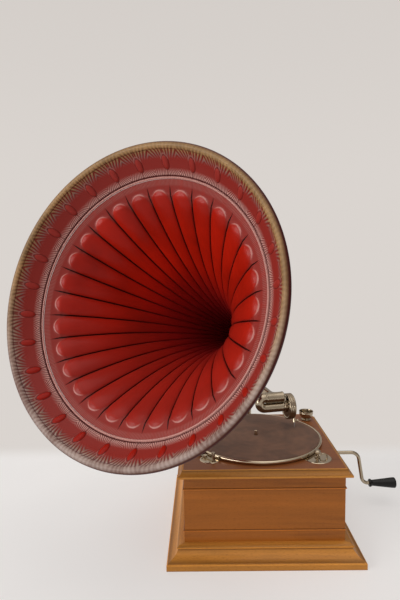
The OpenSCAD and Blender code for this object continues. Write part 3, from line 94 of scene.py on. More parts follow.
# Half width of the floor and how far it lies under the feet, in millimetres, the way to the
# window, and each lamp's name, place, strength and spread in degrees
FLOOR_HALF, FLOOR_DROP = 14000, 0.2
WINDOW_SIDE = (-0.75, -0.3, 0.59)
DAYLIGHT = (1.0, 0.99, 0.975, 1.0)
LAMPS = (("window", (-0.82, -0.55, 0.15), 2.1, 45), ("ceiling", (0.0, -0.25, 1.0), 0.5, 60))


def linear(hex_colour):
    """An sRGB hex colour, such as A0522D, as linear RGBA."""
    rgb = np.array([int(hex_colour[i : i + 2], 16) for i in (0, 2, 4)]) / 255
    low, high = rgb / 12.92, ((rgb + 0.055) / 1.055) ** 2.4
    return (*np.where(rgb <= 0.04045, low, high).tolist(), 1.0)


def number(label, what, size, **more):
    """A setting with its default."""
    return FloatProperty(name=label, description=what, default=size, **more)


def length(label, what, size):
    """A length setting with its default in millimetres."""
    return number(label, what, size * MM, unit="LENGTH", precision=4)


def turn(label, what, degrees):
    """An angle setting with its default in degrees."""
    return number(label, what, math.radians(degrees), unit="ROTATION")


def colour(label, what, hex_colour):
    """A colour setting with its default as sRGB hex."""
    kind = {"size": 3, "min": 0, "max": 1, "subtype": "COLOR"}
    shade = linear(hex_colour)[:3]
    return FloatVectorProperty(name=label, description=what, default=shade, **kind)


# Settings


class HornSettings(bpy.types.PropertyGroup):
    """Sizes and colours of the horn."""

    pivot_y: length("Pivot, back", "Distance of the horn's pivot behind the spindle", 189)
    pivot_z: length("Pivot, up", "Height at which the horn's axis leaves its elbow", 404.57)
    rise: turn("Rise", "Rise of the horn's axis", 16.3)
    swivel: turn("Turn", "Turn of the horn from straight ahead", -27.8)
    mouth_far: length("Mouth", "Distance from the pivot to the mouth", 559.3)
    mouth_radius: length("Mouth radius", "Radius of the mouth over its rolled edge", 289.5)
    band_inner: length("Band, inside", "Radius at which the rim band begins", 241.8)
    band_width: length("Band width", "Width of the rim band, seen from the front", 34.2)
    band_depth: length("Band depth", "Depth of the band's inner edge behind the mouth", 40.7)
    apron: length("Apron", "Width of the plain apron inside the rim band", 30.8)
    flare: length("Flare", "Length over which the bell's flare dies away", 251)
    roll: length("Rolled edge", "Radius of the rolled edge", 7)
    sheet: length("Sheet", "Thickness of the steel", 1)
    flutes: IntProperty(name="Flutes", description="Number of flutes", default=28)
    flute_height: number("Flute height", "Height of a flute as a share of its width", 0.155)
    red: colour("Red", "Lacquer on the flutes", "AC1B09")
    ground: colour("Ground", "Lacquer between the flutes and the band", "8A2B24")
    seam: colour("Seam", "Paint in the seams between the flutes", "220403")
    band: colour("Band", "Lacquer on the rim band", "8A2A23")
    powder: colour("Brushed highlights", "Worn bronze powder on the band's ribs", "C58F86")
    gilt: colour("Gilt", "Bronze powder on the rolled edge", "C89C6A")


class CaseSettings(bpy.types.PropertyGroup):
    """Sizes and colours of the case."""

    plinth_width: length("Plinth width", "Width and depth of the plinth", 404)
    plinth_height: length("Plinth height", "Height of the plinth", 41)
    body_width: length("Body width", "Width and depth of the body", 332)
    body_height: length("Body height", "Height up to the deck's underside", 182)
    deck_width: length("Deck width", "Width and depth of the deck", 357)
    deck_thickness: length("Deck thickness", "Thickness of the deck", 15.2)
    deck_edge: length("Deck moulding", "Width of the moulding round the deck", 12)
    bead: length("Bead", "Height of the two beads round the body", 3.6)
    honey: colour("Plinth wood", "Varnished wood of the plinth", "C08034")
    brown: colour("Body wood", "Varnished wood of the body", "A45F1E")
    dark: colour("Deck wood", "Darker varnished wood of the deck", "98572A")


class TurntableSettings(bpy.types.PropertyGroup):
    """Sizes of the turntable, and the colours of its felt, the metals and the grip."""

    radius: length("Radius", "Radius of the turntable", 152.5)
    felt_radius: length("Felt radius", "Radius of the felt", 147.5)
    felt_top: length("Felt top", "Height of the felt's top face", 206.4)
    felt_thickness: length("Felt thickness", "Thickness of the felt", 1.9)
    felt: colour("Felt", "Worn wool felt", "78523A")
    nickel: colour("Nickel", "Old nickel plate", "A99B86")
    steel: colour("Steel", "Bare steel", "8C8C8E")
    brass: colour("Brass", "Cast and cut brass", "B08D4C")
    iron: colour("Japanned iron", "Black stoving enamel on iron", "1C1D1C")
    grip: colour("Grip", "Ebonised hardwood", "0C0A09")


class ArmSettings(bpy.types.PropertyGroup):
    """Sizes of the tone arm, the soundbox and the crank's grip."""

    reach: length("Reach", "Distance from the arm's pivot to the cross sleeve", 151.5)
    axis_height: length("Height", "Height of the arm's axis", 282.2)
    wide: length("Wide end", "Radius of the arm's wide end", 20.5)
    narrow: length("Narrow end", "Radius of the arm's narrow end", 11.5)
    bend: length("Bend", "Radius of the arm's bend", 29)
    swing: turn("Swing", "Turn of the arm from straight ahead", 17.5)
    head: turn("Head", "Turn of the cross sleeve", 13)
    sleeve: length("Sleeve", "Length of the cross sleeve", 46)
    neck: length("Neck", "Radius of the gooseneck tube", 11.5)
    drop: length("Drop", "Distance between the gooseneck's legs", 25)
    box: length("Soundbox", "Radius of the soundbox", 31.5)
    box_depth: length("Soundbox depth", "Depth of the soundbox's case", 13)
    grip_height: length("Grip height", "Height of the grip's axis", 53.7)
    grip_start: length("Grip start", "Distance of the grip from the spindle", 290.86)
    grip_length: length("Grip length", "Length of the grip", 66)
    grip_radius: length("Grip radius", "Radius of the grip's wide end", 14.2)
    crank_back: length("Crank back", "Distance of the crank's axis behind the spindle", 60)


class StageSettings(bpy.types.PropertyGroup):
    """Floor, light and camera."""

    floor: colour("Floor", "Pale floor", "E2DFDD")
    background: colour("Background", "Pale wall behind", "DAD4CF")
    ambient: number("Ambient", "Even light from all sides", 0.4)
    lift: number("Floor's lift", "Light of its own that the seen floor adds", 0.78)
    lens: number("Lens", "Focal length", 29.371, unit="CAMERA")


class GramophoneSettings(bpy.types.PropertyGroup):
    """All the settings."""

    horn: PointerProperty(name="Horn", type=HornSettings)
    case: PointerProperty(name="Case", type=CaseSettings)
    table: PointerProperty(name="Turntable", type=TurntableSettings)
    arm: PointerProperty(name="Tone arm", type=ArmSettings)
    stage: PointerProperty(name="Stage", type=StageSettings)


# Meshes


def surface(name, points, closed=(False, False), uv=None, caps=()):
    """A mesh object over a grid of points, rows by columns, in millimetres in the frame.
    Each cell is one quad. closed joins the last row, or column, to the first. uv is a grid
    one longer on each closed side. caps are arrays of grid places that close an open end."""
    rows, cols = points.shape[:2]
    i = np.arange(rows if closed[0] else rows - 1)[:, None]
    j = np.arange(cols if closed[1] else cols - 1)[None, :]
    corners = [(i, j), (i, j + 1), (i + 1, j + 1), (i + 1, j)]
    quads = np.stack([(a % rows) * cols + b % cols for a, b in corners], -1).reshape(-1, 4)
    polygons = [*quads.tolist(), *[cap.tolist() for cap in caps]]
    mesh = bpy.data.meshes.new(name)
    mesh.from_pydata((points.reshape(-1, 3) * MM).tolist(), [], polygons)
    if uv is not None:
        wide = cols + closed[1]
        places = [np.stack([a * wide + b for a, b in corners], -1).reshape(-1)]
        places += [cap // cols * wide + cap % cols for cap in caps]
        values = uv.reshape(-1, 2)[np.concatenate(places)].astype(np.float32)
        mesh.uv_layers.new(name="Grain").data.foreach_set("uv", values.ravel())
    piece = bpy.data.objects.new(name, mesh)
    bpy.context.scene.collection.objects.link(piece)
    return piece


def tidy(piece, angle=35):
    """Merges points that lie on each other, as at a pole, points the faces outwards and
    shades them smooth, apart from edges sharper than the angle in degrees."""
    mesh = bmesh.new()
    mesh.from_mesh(piece.data)
    bmesh.ops.remove_doubles(mesh, verts=mesh.verts, dist=2e-6)
    bmesh.ops.recalc_face_normals(mesh, faces=mesh.faces)
    mesh.to_mesh(piece.data)
    mesh.free()
    piece.data.shade_smooth()
    piece.data.set_sharp_from_angle(angle=math.radians(angle))
    return piece


def smooth(points, cut, steps=4):
    """A closed outline with each corner cut back by a distance, at most 0.45 of its shorter
    side, and bridged by a parabola through the two cut points."""
    points = np.asarray(points, float)
    before, after = np.roll(points, 1, 0) - points, np.roll(points, -1, 0) - points
    reach = np.minimum(np.linalg.norm(before, axis=1), np.linalg.norm(after, axis=1))
    cut = np.minimum(cut, reach * 0.45)[:, None]
    first = points + before / np.linalg.norm(before, axis=1)[:, None] * cut
    last = points + after / np.linalg.norm(after, axis=1)[:, None] * cut
    t = np.linspace(0, 1, steps)[None, :, None]
    curve = (1 - t) ** 2 * first[:, None] + t**2 * last[:, None]
    return (curve + 2 * t * (1 - t) * points[:, None]).reshape(-1, 2)


def circle(count):
    """Angles evenly round a circle."""
    return np.linspace(0, 2 * np.pi, count, endpoint=False)


def around(radius, angle, height):
    """Points at a radius, an angle and a height round the Z axis."""
    return paired(radius * np.cos(angle), radius * np.sin(angle), height)


def paired(*values):
    """A grid of points or UVs from a grid, row or column of each measure."""
    return np.stack(np.broadcast_arrays(*values), -1)


def lathe(name, outline, place=None, sides=128):
    """A turned piece: the outline's (radius, height) pairs carried round the Z axis, then put
    in place by a matrix in millimetres."""
    outline = np.asarray(outline, float)
    points = around(outline[:, :1], circle(sides), outline[:, 1:])
    return tidy(surface(name, moved(points, place), (True, True)))


def pipe(name, path, radius, wall, side, place=None, sides=72):
    """A bent tube with its bore. Circles of the given radii stand square to a path that lies
    in one plane, whose normal is side."""
    path, side = np.asarray(path, float), np.asarray(side, float)
    ahead = np.gradient(path, axis=0)
    ahead = ahead / np.linalg.norm(ahead, axis=1)[:, None]
    up = np.cross(side, ahead)
    angle = circle(sides)[None, :, None]
    turned = np.cos(angle) * side + np.sin(angle) * up[:, None]
    radius = np.broadcast_to(radius, len(path))[:, None, None]
    outer, inner = path[:, None] + radius * turned, path[:, None] + (radius - wall) * turned
    points = moved(np.concatenate([outer, inner[::-1]]), place)
    return tidy(surface(name, points, (True, True)))


def moved(points, place):
    """Points turned and shifted by a 4 by 4 matrix, or as they are where there is none."""
    if place is None:
        return points
    m = np.array(place)
    return points @ m[:3, :3].T + m[:3, 3]


def arc(centre, radius, start, end, steps=8):
    """Points of an arc, angles in degrees from the first axis towards the second."""
    a = np.radians(np.linspace(start, end, steps))
    return paired(centre[0] + radius * np.cos(a), centre[1] + radius * np.sin(a))


def mitred(name, outline, half, low):
    """Four lengths of moulding round a square. The outline's pairs are (outwards from the
    square's side, up). On each side the outline is carried along the side, and a point that
    lies x outwards runs x further at both ends, which gives the mitre."""
    outline = np.asarray(outline, float)
    rows, cols = len(outline), 13
    along = np.linspace(-1, 1, cols)[None, :]
    out, up = outline[:, :1], outline[:, 1:]
    reach = half + out - MITRE_GAP
    edges = np.linalg.norm(np.diff(outline, axis=0, append=outline[:1]), axis=1)
    girth = np.append(0, np.cumsum(edges))[:, None] * MM
    ends = [np.arange(rows)[::-1] * cols, np.arange(rows) * cols + cols - 1]
    pieces = []
    for quarter in range(4):
        side = paired(along * reach, -(half + out), up + low)
        side = moved(side, Matrix.Rotation(math.pi / 2 * quarter, 4, "Z"))
        u = along * np.append(reach, reach[:1], 0) * MM + quarter * GRAIN_SHIFT[0]
        grain = paired(u, girth + quarter * GRAIN_SHIFT[1])
        pieces.append(surface(f"{name}_{quarter}", side, (True, False), grain, ends))
    return tidy(joined(name, pieces), 30)


def joined(name, pieces):
    """Joins fresh mesh objects into one."""
    bpy.ops.object.select_all(action="DESELECT")
    for piece in pieces:
        piece.select_set(True)
    bpy.context.view_layer.objects.active = pieces[0]
    bpy.ops.object.join()
    pieces[0].name = pieces[0].data.name = name
    return pieces[0]


def dress(piece, material, body, slot, *nodes):
    """Gives a new piece its finish and its body, and hides the CAD nodes that it stands for."""
    piece.data.materials.clear()
    piece.data.materials.append(material)
    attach(piece, body)
    if nodes:
        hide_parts(*nodes)
    return piece


def paint(material, *nodes):
    """Gives CAD nodes a finish."""
    for name in nodes:
        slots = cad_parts[name].data.materials
        slots.clear()
        slots.append(material)


# Materials

# Tarnish on nickel, painted shade deep in the throat, and the red and pale grey of painted light on
# the lower half of the rolled edge
TARNISH = (0.30, 0.235, 0.15, 1)
THROAT_SHADE_RED = (0.22, 0.008, 0.01, 1)
LOW_ROLL_RED, LIT_ROLL_GREY = (0.17, 0.09, 0.085, 1), (0.42, 0.34, 0.33, 1)


def add(near, kind, inputs=None, **settings):
    """Adds one shader node to the tree that near, a tree, node or socket, belongs to. settings
    are its own properties, and inputs gives each socket, by name or number, a value or the
    output that feeds it."""
    tree = near.id_data
    node = tree.nodes.new("ShaderNode" + kind)
    for key, value in settings.items():
        setattr(node, key, value)
    for key, value in (inputs or {}).items():
        if isinstance(value, bpy.types.NodeSocket):
            tree.links.new(value, node.inputs[key])
        else:
            node.inputs[key].default_value = value
    return node


def finish(name, **sockets):
    """A new material with one Principled shader, its even values set on the shader's own
    sockets, whose names are written with _ for a space."""
    made = bpy.data.materials.new(name)
    made.use_nodes = True
    tree = made.node_tree
    tree.nodes.clear()
    shader = add(tree, "BsdfPrincipled", {k.replace("_", " "): v for k, v in sockets.items()})
    add(tree, "OutputMaterial", {"Surface": shader.outputs[0]})
    return made, shader


def feed(shader, **outputs):
    """Links outputs to the shader's sockets, named in the same way."""
    for name, output in outputs.items():
        shader.id_data.links.new(output, shader.inputs[name.replace("_", " ")])


def rgba(shade, level=1.0):
    """A colour setting, or sRGB hex, as RGBA, made darker or lighter by level."""
    rgb = linear(shade) if isinstance(shade, str) else shade
    return (*[min(1.0, c * level) for c in rgb[:3]], 1.0)


def coordinates(near, kind="Object"):
    """A point's place in the frame, or in another kind of coordinates."""
    return add(near, "TexCoord").outputs[kind]


def axis(near, number, kind="Object"):
    """One of the three measures of a point's place."""
    return add(near, "SeparateXYZ", {0: coordinates(near, kind)}).outputs[number]


def stretched(where, scale):
    """Places scaled along each axis."""
    return add(where, "Mapping", {"Vector": where, "Scale": scale}).outputs[0]


def distance(where):
    """How far a place lies from the middle."""
    return add(where, "VectorMath", {0: where}, operation="LENGTH").outputs["Value"]


def noise(where, scale, detail, **more):
    """A cloudy level from 0 to 1."""
    inputs = {"Vector": where, "Scale": scale, "Detail": detail, **more}
    return add(where, "TexNoise", inputs).outputs["Fac"]


def ramp(value, *stops):
    """Turns a value into a colour. stops are pairs of value and colour."""
    node = add(value, "ValToRGB", {"Fac": value})
    elements = node.color_ramp.elements
    elements.remove(elements[1])
    elements[0].position, elements[0].color = stops[0]
    for place, shade in stops[1:]:
        elements.new(place).color = shade
    return node.outputs[0]


def shades(value, shade, *levels):
    """Turns a value into darker and lighter tones of one colour. levels are pairs of value and
    level."""
    return ramp(value, *[(place, rgba(shade, level)) for place, level in levels])


def bump(height, strength, depth):
    """A normal bent by a height."""
    inputs = {"Height": height, "Strength": strength, "Distance": depth}
    return add(height, "Bump", inputs).outputs[0]


def chain(value, *steps):
    """Feeds a value through maths nodes in turn. A step is an operation and its second and
    third operands."""
    for kind, *more in steps:
        inputs = {0: value, **{k + 1: item for k, item in enumerate(more)}}
        value = add(value, "Math", inputs, operation=kind).outputs[0]
    return value


def product(value, *factors):
    """Multiplies a value by each factor."""
    return chain(value, *[("MULTIPLY", factor) for factor in factors])


def blend(share, first, second, how="MIX"):
    """Mixes two colours by a share. At least one of the three is a socket."""
    near = next(item for item in (share, first, second) if hasattr(item, "id_data"))
    inputs = {0: share, 6: first, 7: second}
    return add(near, "Mix", inputs, data_type="RGBA", blend_type=how).outputs[2]


def step(value, low, high, start=0.0, end=1.0, kind="SMOOTHSTEP"):
    """Carries a value from one range to another, held outside it, with a soft start and end
    unless the kind is LINEAR."""
    inputs = {0: value, 1: low, 2: high, 3: start, 4: end}
    return add(value, "MapRange", inputs, interpolation_type=kind).outputs[0]


def wood(name, shade, by_uv=True, turned=False, light_bands=()):
    """Varnished hardwood, polished by rubbing: soft brown streaks along the grain 2 to 6 mm wide,
    fine dark pores about 0.3 mm wide and 4 mm long, drawn twice as coarse so that they show, under
    a thin clear coat that gives soft window reflections. The grain runs along X, or along Y where
    it is turned. The last argument lists heights on a moulding in millimetres, each with a level:
    painted highlights along the arrises and on faces that catch the light, and painted shade in the
    quirks and under the overhangs."""
    made, shader = finish(
        name, Roughness=0.45, Specular_IOR_Level=0.25, Coat_Weight=0.2, Coat_Roughness=0.2
    )
    where = coordinates(shader, "UV" if by_uv else "Object")
    quarter = (0, 0, math.pi / 2 * turned)
    place = add(shader, "Mapping", {"Vector": where, "Rotation": quarter}).outputs[0]
    bend = add(shader, "TexNoise", {"Vector": place, "Scale": 5.0, "Detail": 2.0}).outputs["Color"]
    bent = {0: bend, 1: (0.0, 0.02, 0.02), 2: place}
    wavy = add(shader, "VectorMath", bent, operation="MULTIPLY_ADD").outputs[0]
    streak = noise(stretched(wavy, (5, 170, 170)), 1.0, 5.0, Roughness=0.6)
    cloud = noise(stretched(wavy, (1.6, 26, 26)), 1.0, 3.0)
    pore = noise(stretched(place, (120, 1500, 1500)), 1.0, 1.0)
    mixed = chain(streak, ("MULTIPLY_ADD", 0.55, cloud), ("MULTIPLY", 0.65))
    tone = shades(mixed, shade, (0.36, 0.72), (0.46, 0.93), (0.56, 1.03), (0.68, 1.18))
    dots = ramp(pore, (0.3, (0.72, 0.66, 0.6, 1)), (0.42, (1, 1, 1, 1)))
    shown = blend(1.0, tone, dots, "MULTIPLY")
    # Painted light and shade in bands by height
    if light_bands:
        low, high = light_bands[0][0], light_bands[-1][0]
        share = step(axis(shader, 2), low * MM, high * MM, kind="LINEAR")
        levels = [((z - low) / (high - low), level) for z, level in light_bands]
        halved = shades(share, (0.5, 0.5, 0.5), *levels)
        doubled = blend(1.0, halved, (2, 2, 2, 1), "MULTIPLY")
        shown = blend(1.0, shown, doubled, "MULTIPLY")
    feed(shader, Base_Color=shown, Normal=bump(streak, 0.12, 0.0006))
    return made


def plated(name, shade, roughness=0.2, spots=0.35):
    """Old nickel plate on brass or steel: a warm grey mirror gone slightly cloudy in patches
    of 5 to 20 mm, with small yellow-brown tarnish in them and fine pits. spots is how strongly
    the tarnish shows."""
    made, shader = finish(name, Metallic=1.0)
    where = coordinates(shader)
    patch = noise(where, 70.0, 4.0)
    rough = step(patch, 0.3, 0.75, roughness * 0.75, roughness * 1.7, "LINEAR")
    tarnish = ramp(patch, (0.35, rgba(shade, 1.08)), (0.58, rgba(shade)), (0.78, TARNISH))
    pits = bump(noise(where, 420.0, 3.0), 0.06, 0.0002)
    tone = blend(spots, rgba(shade), tarnish)
    feed(shader, Base_Color=tone, Roughness=rough, Normal=pits)
    return made


def grained(name, shade, metallic, roughness, scale, strength, **sockets):
    """A plain working finish: machined metal, enamel, fibre, rubber or leather. Its colour and
    gloss vary over patches of the given scale, and a fine grain roughens it."""
    made, shader = finish(name, Metallic=metallic, **sockets)
    where = coordinates(shader)
    patch = noise(where, scale, 4.0)
    tone = shades(patch, shade, (0.3, 0.75), (0.7, 1.2))
    rough = step(patch, 0.25, 0.75, roughness * 0.8, min(1, roughness * 1.25), "LINEAR")
    grain = bump(noise(where, scale * 9, 2.0), strength, 0.0004)
    feed(shader, Base_Color=tone, Roughness=rough, Normal=grain)
    return made


def horn_grid(shader, horn):
    """Sockets made from the horn's own UVs, whose u counts flutes round the axis from a seam and
    whose v is a distance in millimetres: u, v and the share of a flute from the nearest seam,
    from 0 to 0.5. Then the angle of one flute."""
    u, v = axis(shader, 0, "UV"), axis(shader, 1, "UV")
    return u, v, chain(u, ("PINGPONG", 0.5)), 2 * math.pi / horn.flutes


def lacquer(horn):
    """Stoved red lacquer on pressed steel: bright red on the flutes, browner on the apron round
    their ends, near black in the seams. Painted shade dulls the lower half and darkens the throat
    to a deep red, where the seams fade out. A pale crescent on each flute's tip is part bronze
    powder and part painted highlight, and the apron has fine milled lines near the ridge, 18 to a
    flute. v is the radius."""
    made, shader = finish(
        "stoved_red_lacquer",
        Roughness=0.36,
        Specular_IOR_Level=0.16,
        Coat_Weight=0.06,
        Coat_Roughness=0.1,
    )
    u, v, seam, pitch = horn_grid(shader, horn)
    taper = step(v, FLUTE_END - 8, SEAM_END, SEAM_WIDTH, 0.05)
    away = chain(product(v, pitch, seam), ("DIVIDE", taper))
    # Flute ends follow the mesh
    off = chain(seam, ("MULTIPLY_ADD", -2 / TIP_SHARE, 1 / TIP_SHARE), ("POWER", 2.0))
    beyond = step(v, FLUTE_FULL, FLUTE_END, kind="LINEAR")
    inside = chain(beyond, ("MULTIPLY_ADD", beyond, off), ("MULTIPLY_ADD", -1.0, 1.0))
    cloud = noise(coordinates(shader), 9.0, 3.0)
    red = shades(cloud, horn.red, (0.3, 0.75), (0.5, 1.0), (0.7, 1.2))
    # Painted shade dulls the lower half
    painted_lower_half = step(axis(shader, 2), 0.62, 0.34, 0.0, 0.55)
    red = blend(painted_lower_half, red, rgba(horn.ground, 0.95))
    tipped = chain(beyond, ("POWER", 3.0), ("MULTIPLY", 0.35))
    flamed = blend(tipped, red, rgba(horn.ground, 1.1))
    ribs = chain(u, ("MULTIPLY", 2 * math.pi * MILLED), ("SINE",))
    apron = step(v, SEAM_END - 5, SEAM_END)
    fine = chain(ribs, ("MULTIPLY_ADD", 0.2, 0.15), ("MULTIPLY", apron))
    ground = blend(fine, rgba(horn.ground), rgba(horn.powder, 0.85))
    body = blend(step(inside, -0.1, 0.25), ground, flamed)
    # Pale crescent on each tip: part bronze powder, part painted highlight
    crest = product(
        step(inside, 0.0, 0.06),
        step(inside, 0.22, 0.1),
        step(beyond, 0.6, 0.9),
        0.55,
    )
    powdered = blend(crest, body, rgba(horn.powder, 1.1))
    # Painted shade: the throat darkens to a deep red, and the seams fade out into it
    deep = blend(step(v, 30, 120), THROAT_SHADE_RED, powdered)
    dark = chain(step(v, 150, 55), ("MAXIMUM", step(away, 0.6, 1.3)))
    seamed = blend(dark, rgba(horn.seam), deep)
    milled = bump(product(ribs, apron), 0.4, 0.0005)
    feed(shader, Base_Color=seamed, Normal=milled)
    return made


# Tones across the band, from 9 mm inside its inner edge over 90 mm outwards: the distance from
# that edge, a colour of the horn and its level, on the ridge, between the ribs and on them
TONES_FROM, TONES_OVER = -9, 90
RIDGE = (
    (-9, "powder", 0.5), (-4.8, "powder", 0.95), (-1.8, "powder", 0.95), (-0.6, "line", 1),
    (1.6, "line", 1),
)
GROOVES = (
    (3.4, "powder", 0.32), (12, "band", 1), (38, "band", 1), (50, "band", 0.8),
    (57, "gilt", 0.34), (64, "gilt", 0.42), (70, "band", 0.25),
)
RIBS = (
    (3.4, "powder", 1.15), (9, "powder", 0.85), (16, "band", 1), (34, "band", 1.15),
    (42, "powder", 0.48), (51, "gilt", 0.62), (58, "gilt", 0.78), (65, "gilt", 0.58),
    (70, "band", 0.25),
)


def band_lacquer(horn):
    """Lacquer on the pressed rim: red on the oval bosses, plain dark red between them, and towards
    both edges fine ribs 4 to 6 mm apart that fan out a little round each boss, brushed with bronze
    powder, pink beside the ridge and golden on the rolled edge. Painted light: the bosses are a
    brighter red on the lower half, the lower half of the rolled edge is paler and greyer, and each
    boss has a pale painted highlight over its outer end and a line of painted shade round it. v is
    the distance outwards from the band's inner edge."""
    made, shader = finish(
        "bronzed_band_lacquer",
        Roughness=0.4,
        Specular_IOR_Level=0.15,
        Coat_Weight=0.05,
        Coat_Roughness=0.15,
    )
    _, v, seam, pitch = horn_grid(shader, horn)
    lean = horn.band_width / math.hypot(horn.band_width, horn.band_depth + MM)
    wide = chain(v, ("MULTIPLY_ADD", lean * pitch, horn.band_inner / MM * pitch))
    along = product(seam, wide)
    across = chain(v, ("SUBTRACT", BOSS_AT))
    off = chain(across, ("ABSOLUTE",))
    fan = chain(along, ("ARCTAN2", chain(off, ("ADD", FAN_FROM))))
    where = coordinates(shader)
    wobble, wear = noise(where, 60.0, 2.0), noise(where, 14.0, 3.0)
    painted_lower_half = step(axis(shader, 2), 0.62, 0.38)
    # There are more ribs inside the bosses than outside
    count = step(across, -4, 4, RIBS_INSIDE, RIBS_OUTSIDE)
    ribs = chain(fan, ("MULTIPLY_ADD", count, product(wobble, 2.5)), ("COSINE",))
    oval = chain(across, ("DIVIDE", BOSS_LONG), ("POWER", 2.0))
    oval = chain(along, ("DIVIDE", BOSS_WIDE), ("POWER", 2.0), ("ADD", oval))

    line = (*[0.6 * a + 0.25 * b for a, b in zip(horn.seam, horn.band)], 1)
    place = chain(v, ("SUBTRACT", TONES_FROM), ("DIVIDE", TONES_OVER))
    tones = []
    for table in (GROOVES, RIBS):
        stops = []
        for at, paint_name, level in RIDGE + table:
            shade = line if paint_name == "line" else rgba(getattr(horn, paint_name), level)
            stops.append(((at - TONES_FROM) / TONES_OVER, shade))
        tones.append(ramp(place, *stops))
    ridged = step(chain(ribs, ("MULTIPLY_ADD", 0.8, wear), ("ADD", -0.3)), -0.3, 0.7)
    # On the rolled edge the ribs give way to mottled wear
    mottled = step(wear, 0.35, 0.65)
    ridged = blend(step(v, 52, 62, 0.0, 0.7), ridged, mottled)
    tone = blend(ridged, *tones)
    # Painted light on the lower half of the rolled edge: the ribs paler and greyer, red between
    # them
    rolled = product(step(v, 42, 54), step(v, 70, 66), painted_lower_half, 0.75)
    lit_low_roll = blend(ridged, LOW_ROLL_RED, LIT_ROLL_GREY)
    tone = blend(rolled, tone, lit_low_roll)
    # A pale hood outside each boss, painted as the highlight on a raised end; a dark line of
    # painted shade in the groove round it; and its red, brighter on the lower half as painted light
    hood = product(
        step(oval, 1.25, 1.5),
        step(oval, 2.1, 1.7),
        step(across, 4.0, 10.0),
        0.4,
    )
    tone = blend(hood, tone, rgba(horn.powder))
    tone = blend(step(oval, 1.4, 1.1, 0.0, 0.6), tone, line)
    boss = blend(painted_lower_half, rgba(horn.band, 1.25), rgba(horn.red, 0.8))
    tone = blend(step(oval, 1.05, 0.8), tone, boss)
    fades = product(step(off, 9.0, 17.0), ribs, step(v, 60, 48, 0.08, 1.0))
    feed(shader, Base_Color=tone, Normal=bump(fades, 0.5, 0.0007))
    return made


def felt_cloth(table):
    """Pressed wool felt, well used and dusty: matt brown with fibre clumps 0.5 to 2 mm across,
    paler in patches and faint rings where records have chafed it, and a soft sheen from loose
    fibres."""
    made, shader = finish(
        "worn_wool_felt", Roughness=0.95, Sheen_Weight=0.15, Sheen_Roughness=0.5
    )
    where = coordinates(shader)
    fibre = noise(where, 900.0, 4.0, Roughness=0.7)
    patch = noise(where, 22.0, 4.0, Distortion=0.6)
    out = distance(stretched(where, (1, 1, 0)))
    soft = chain(out, ("MULTIPLY", 340.0), ("SINE",), ("MULTIPLY_ADD", 0.025, patch))
    both = chain(fibre, ("MULTIPLY_ADD", 0.35, soft))
    tone = shades(both, table.felt, (0.45, 0.72), (0.65, 1.0), (0.9, 1.35))
    feed(shader, Base_Color=tone, Normal=bump(fibre, 0.5, 0.0008))
    return made


def seen(near):
    """A socket that is 1 for rays that see a surface: from the camera, a mirror or glass."""
    rays = add(near, "LightPath").outputs
    others = [("MAXIMUM", rays[f"Is {kind} Ray"]) for kind in ("Glossy", "Transmission")]
    return chain(rays["Is Camera Ray"], *others)


def pale_floor(stage):
    """Matt pale painted floor with soft cloudy tone, lifted a little where it is seen. It turns
    into the wall's colour behind the machine and far away all round, without an edge."""
    made, shader = finish("matt_pale_floor", Roughness=0.9, Specular_IOR_Level=0.2)
    where, visible = coordinates(shader), seen(shader)
    tone = shades(noise(where, 1.5, 2.0), stage.floor, (0.3, 0.68), (0.7, 0.72))
    lift = product(visible, stage.lift)
    feed(shader, Base_Color=tone, Emission_Color=tone, Emission_Strength=lift)
    behind = step(axis(shader, 1), 0.34, 0.46)
    far = chain(step(distance(where), 1.2, 3.0), ("MAXIMUM", behind))
    wall = add(shader, "Emission", {"Color": rgba(stage.background)}).outputs[0]
    mixed = {0: product(far, visible), 1: shader.outputs[0], 2: wall}
    output = next(node for node in shader.id_data.nodes if node.type == "OUTPUT_MATERIAL")
    feed(output, Surface=add(shader, "MixShader", mixed).outputs[0])
    return made


# Operators


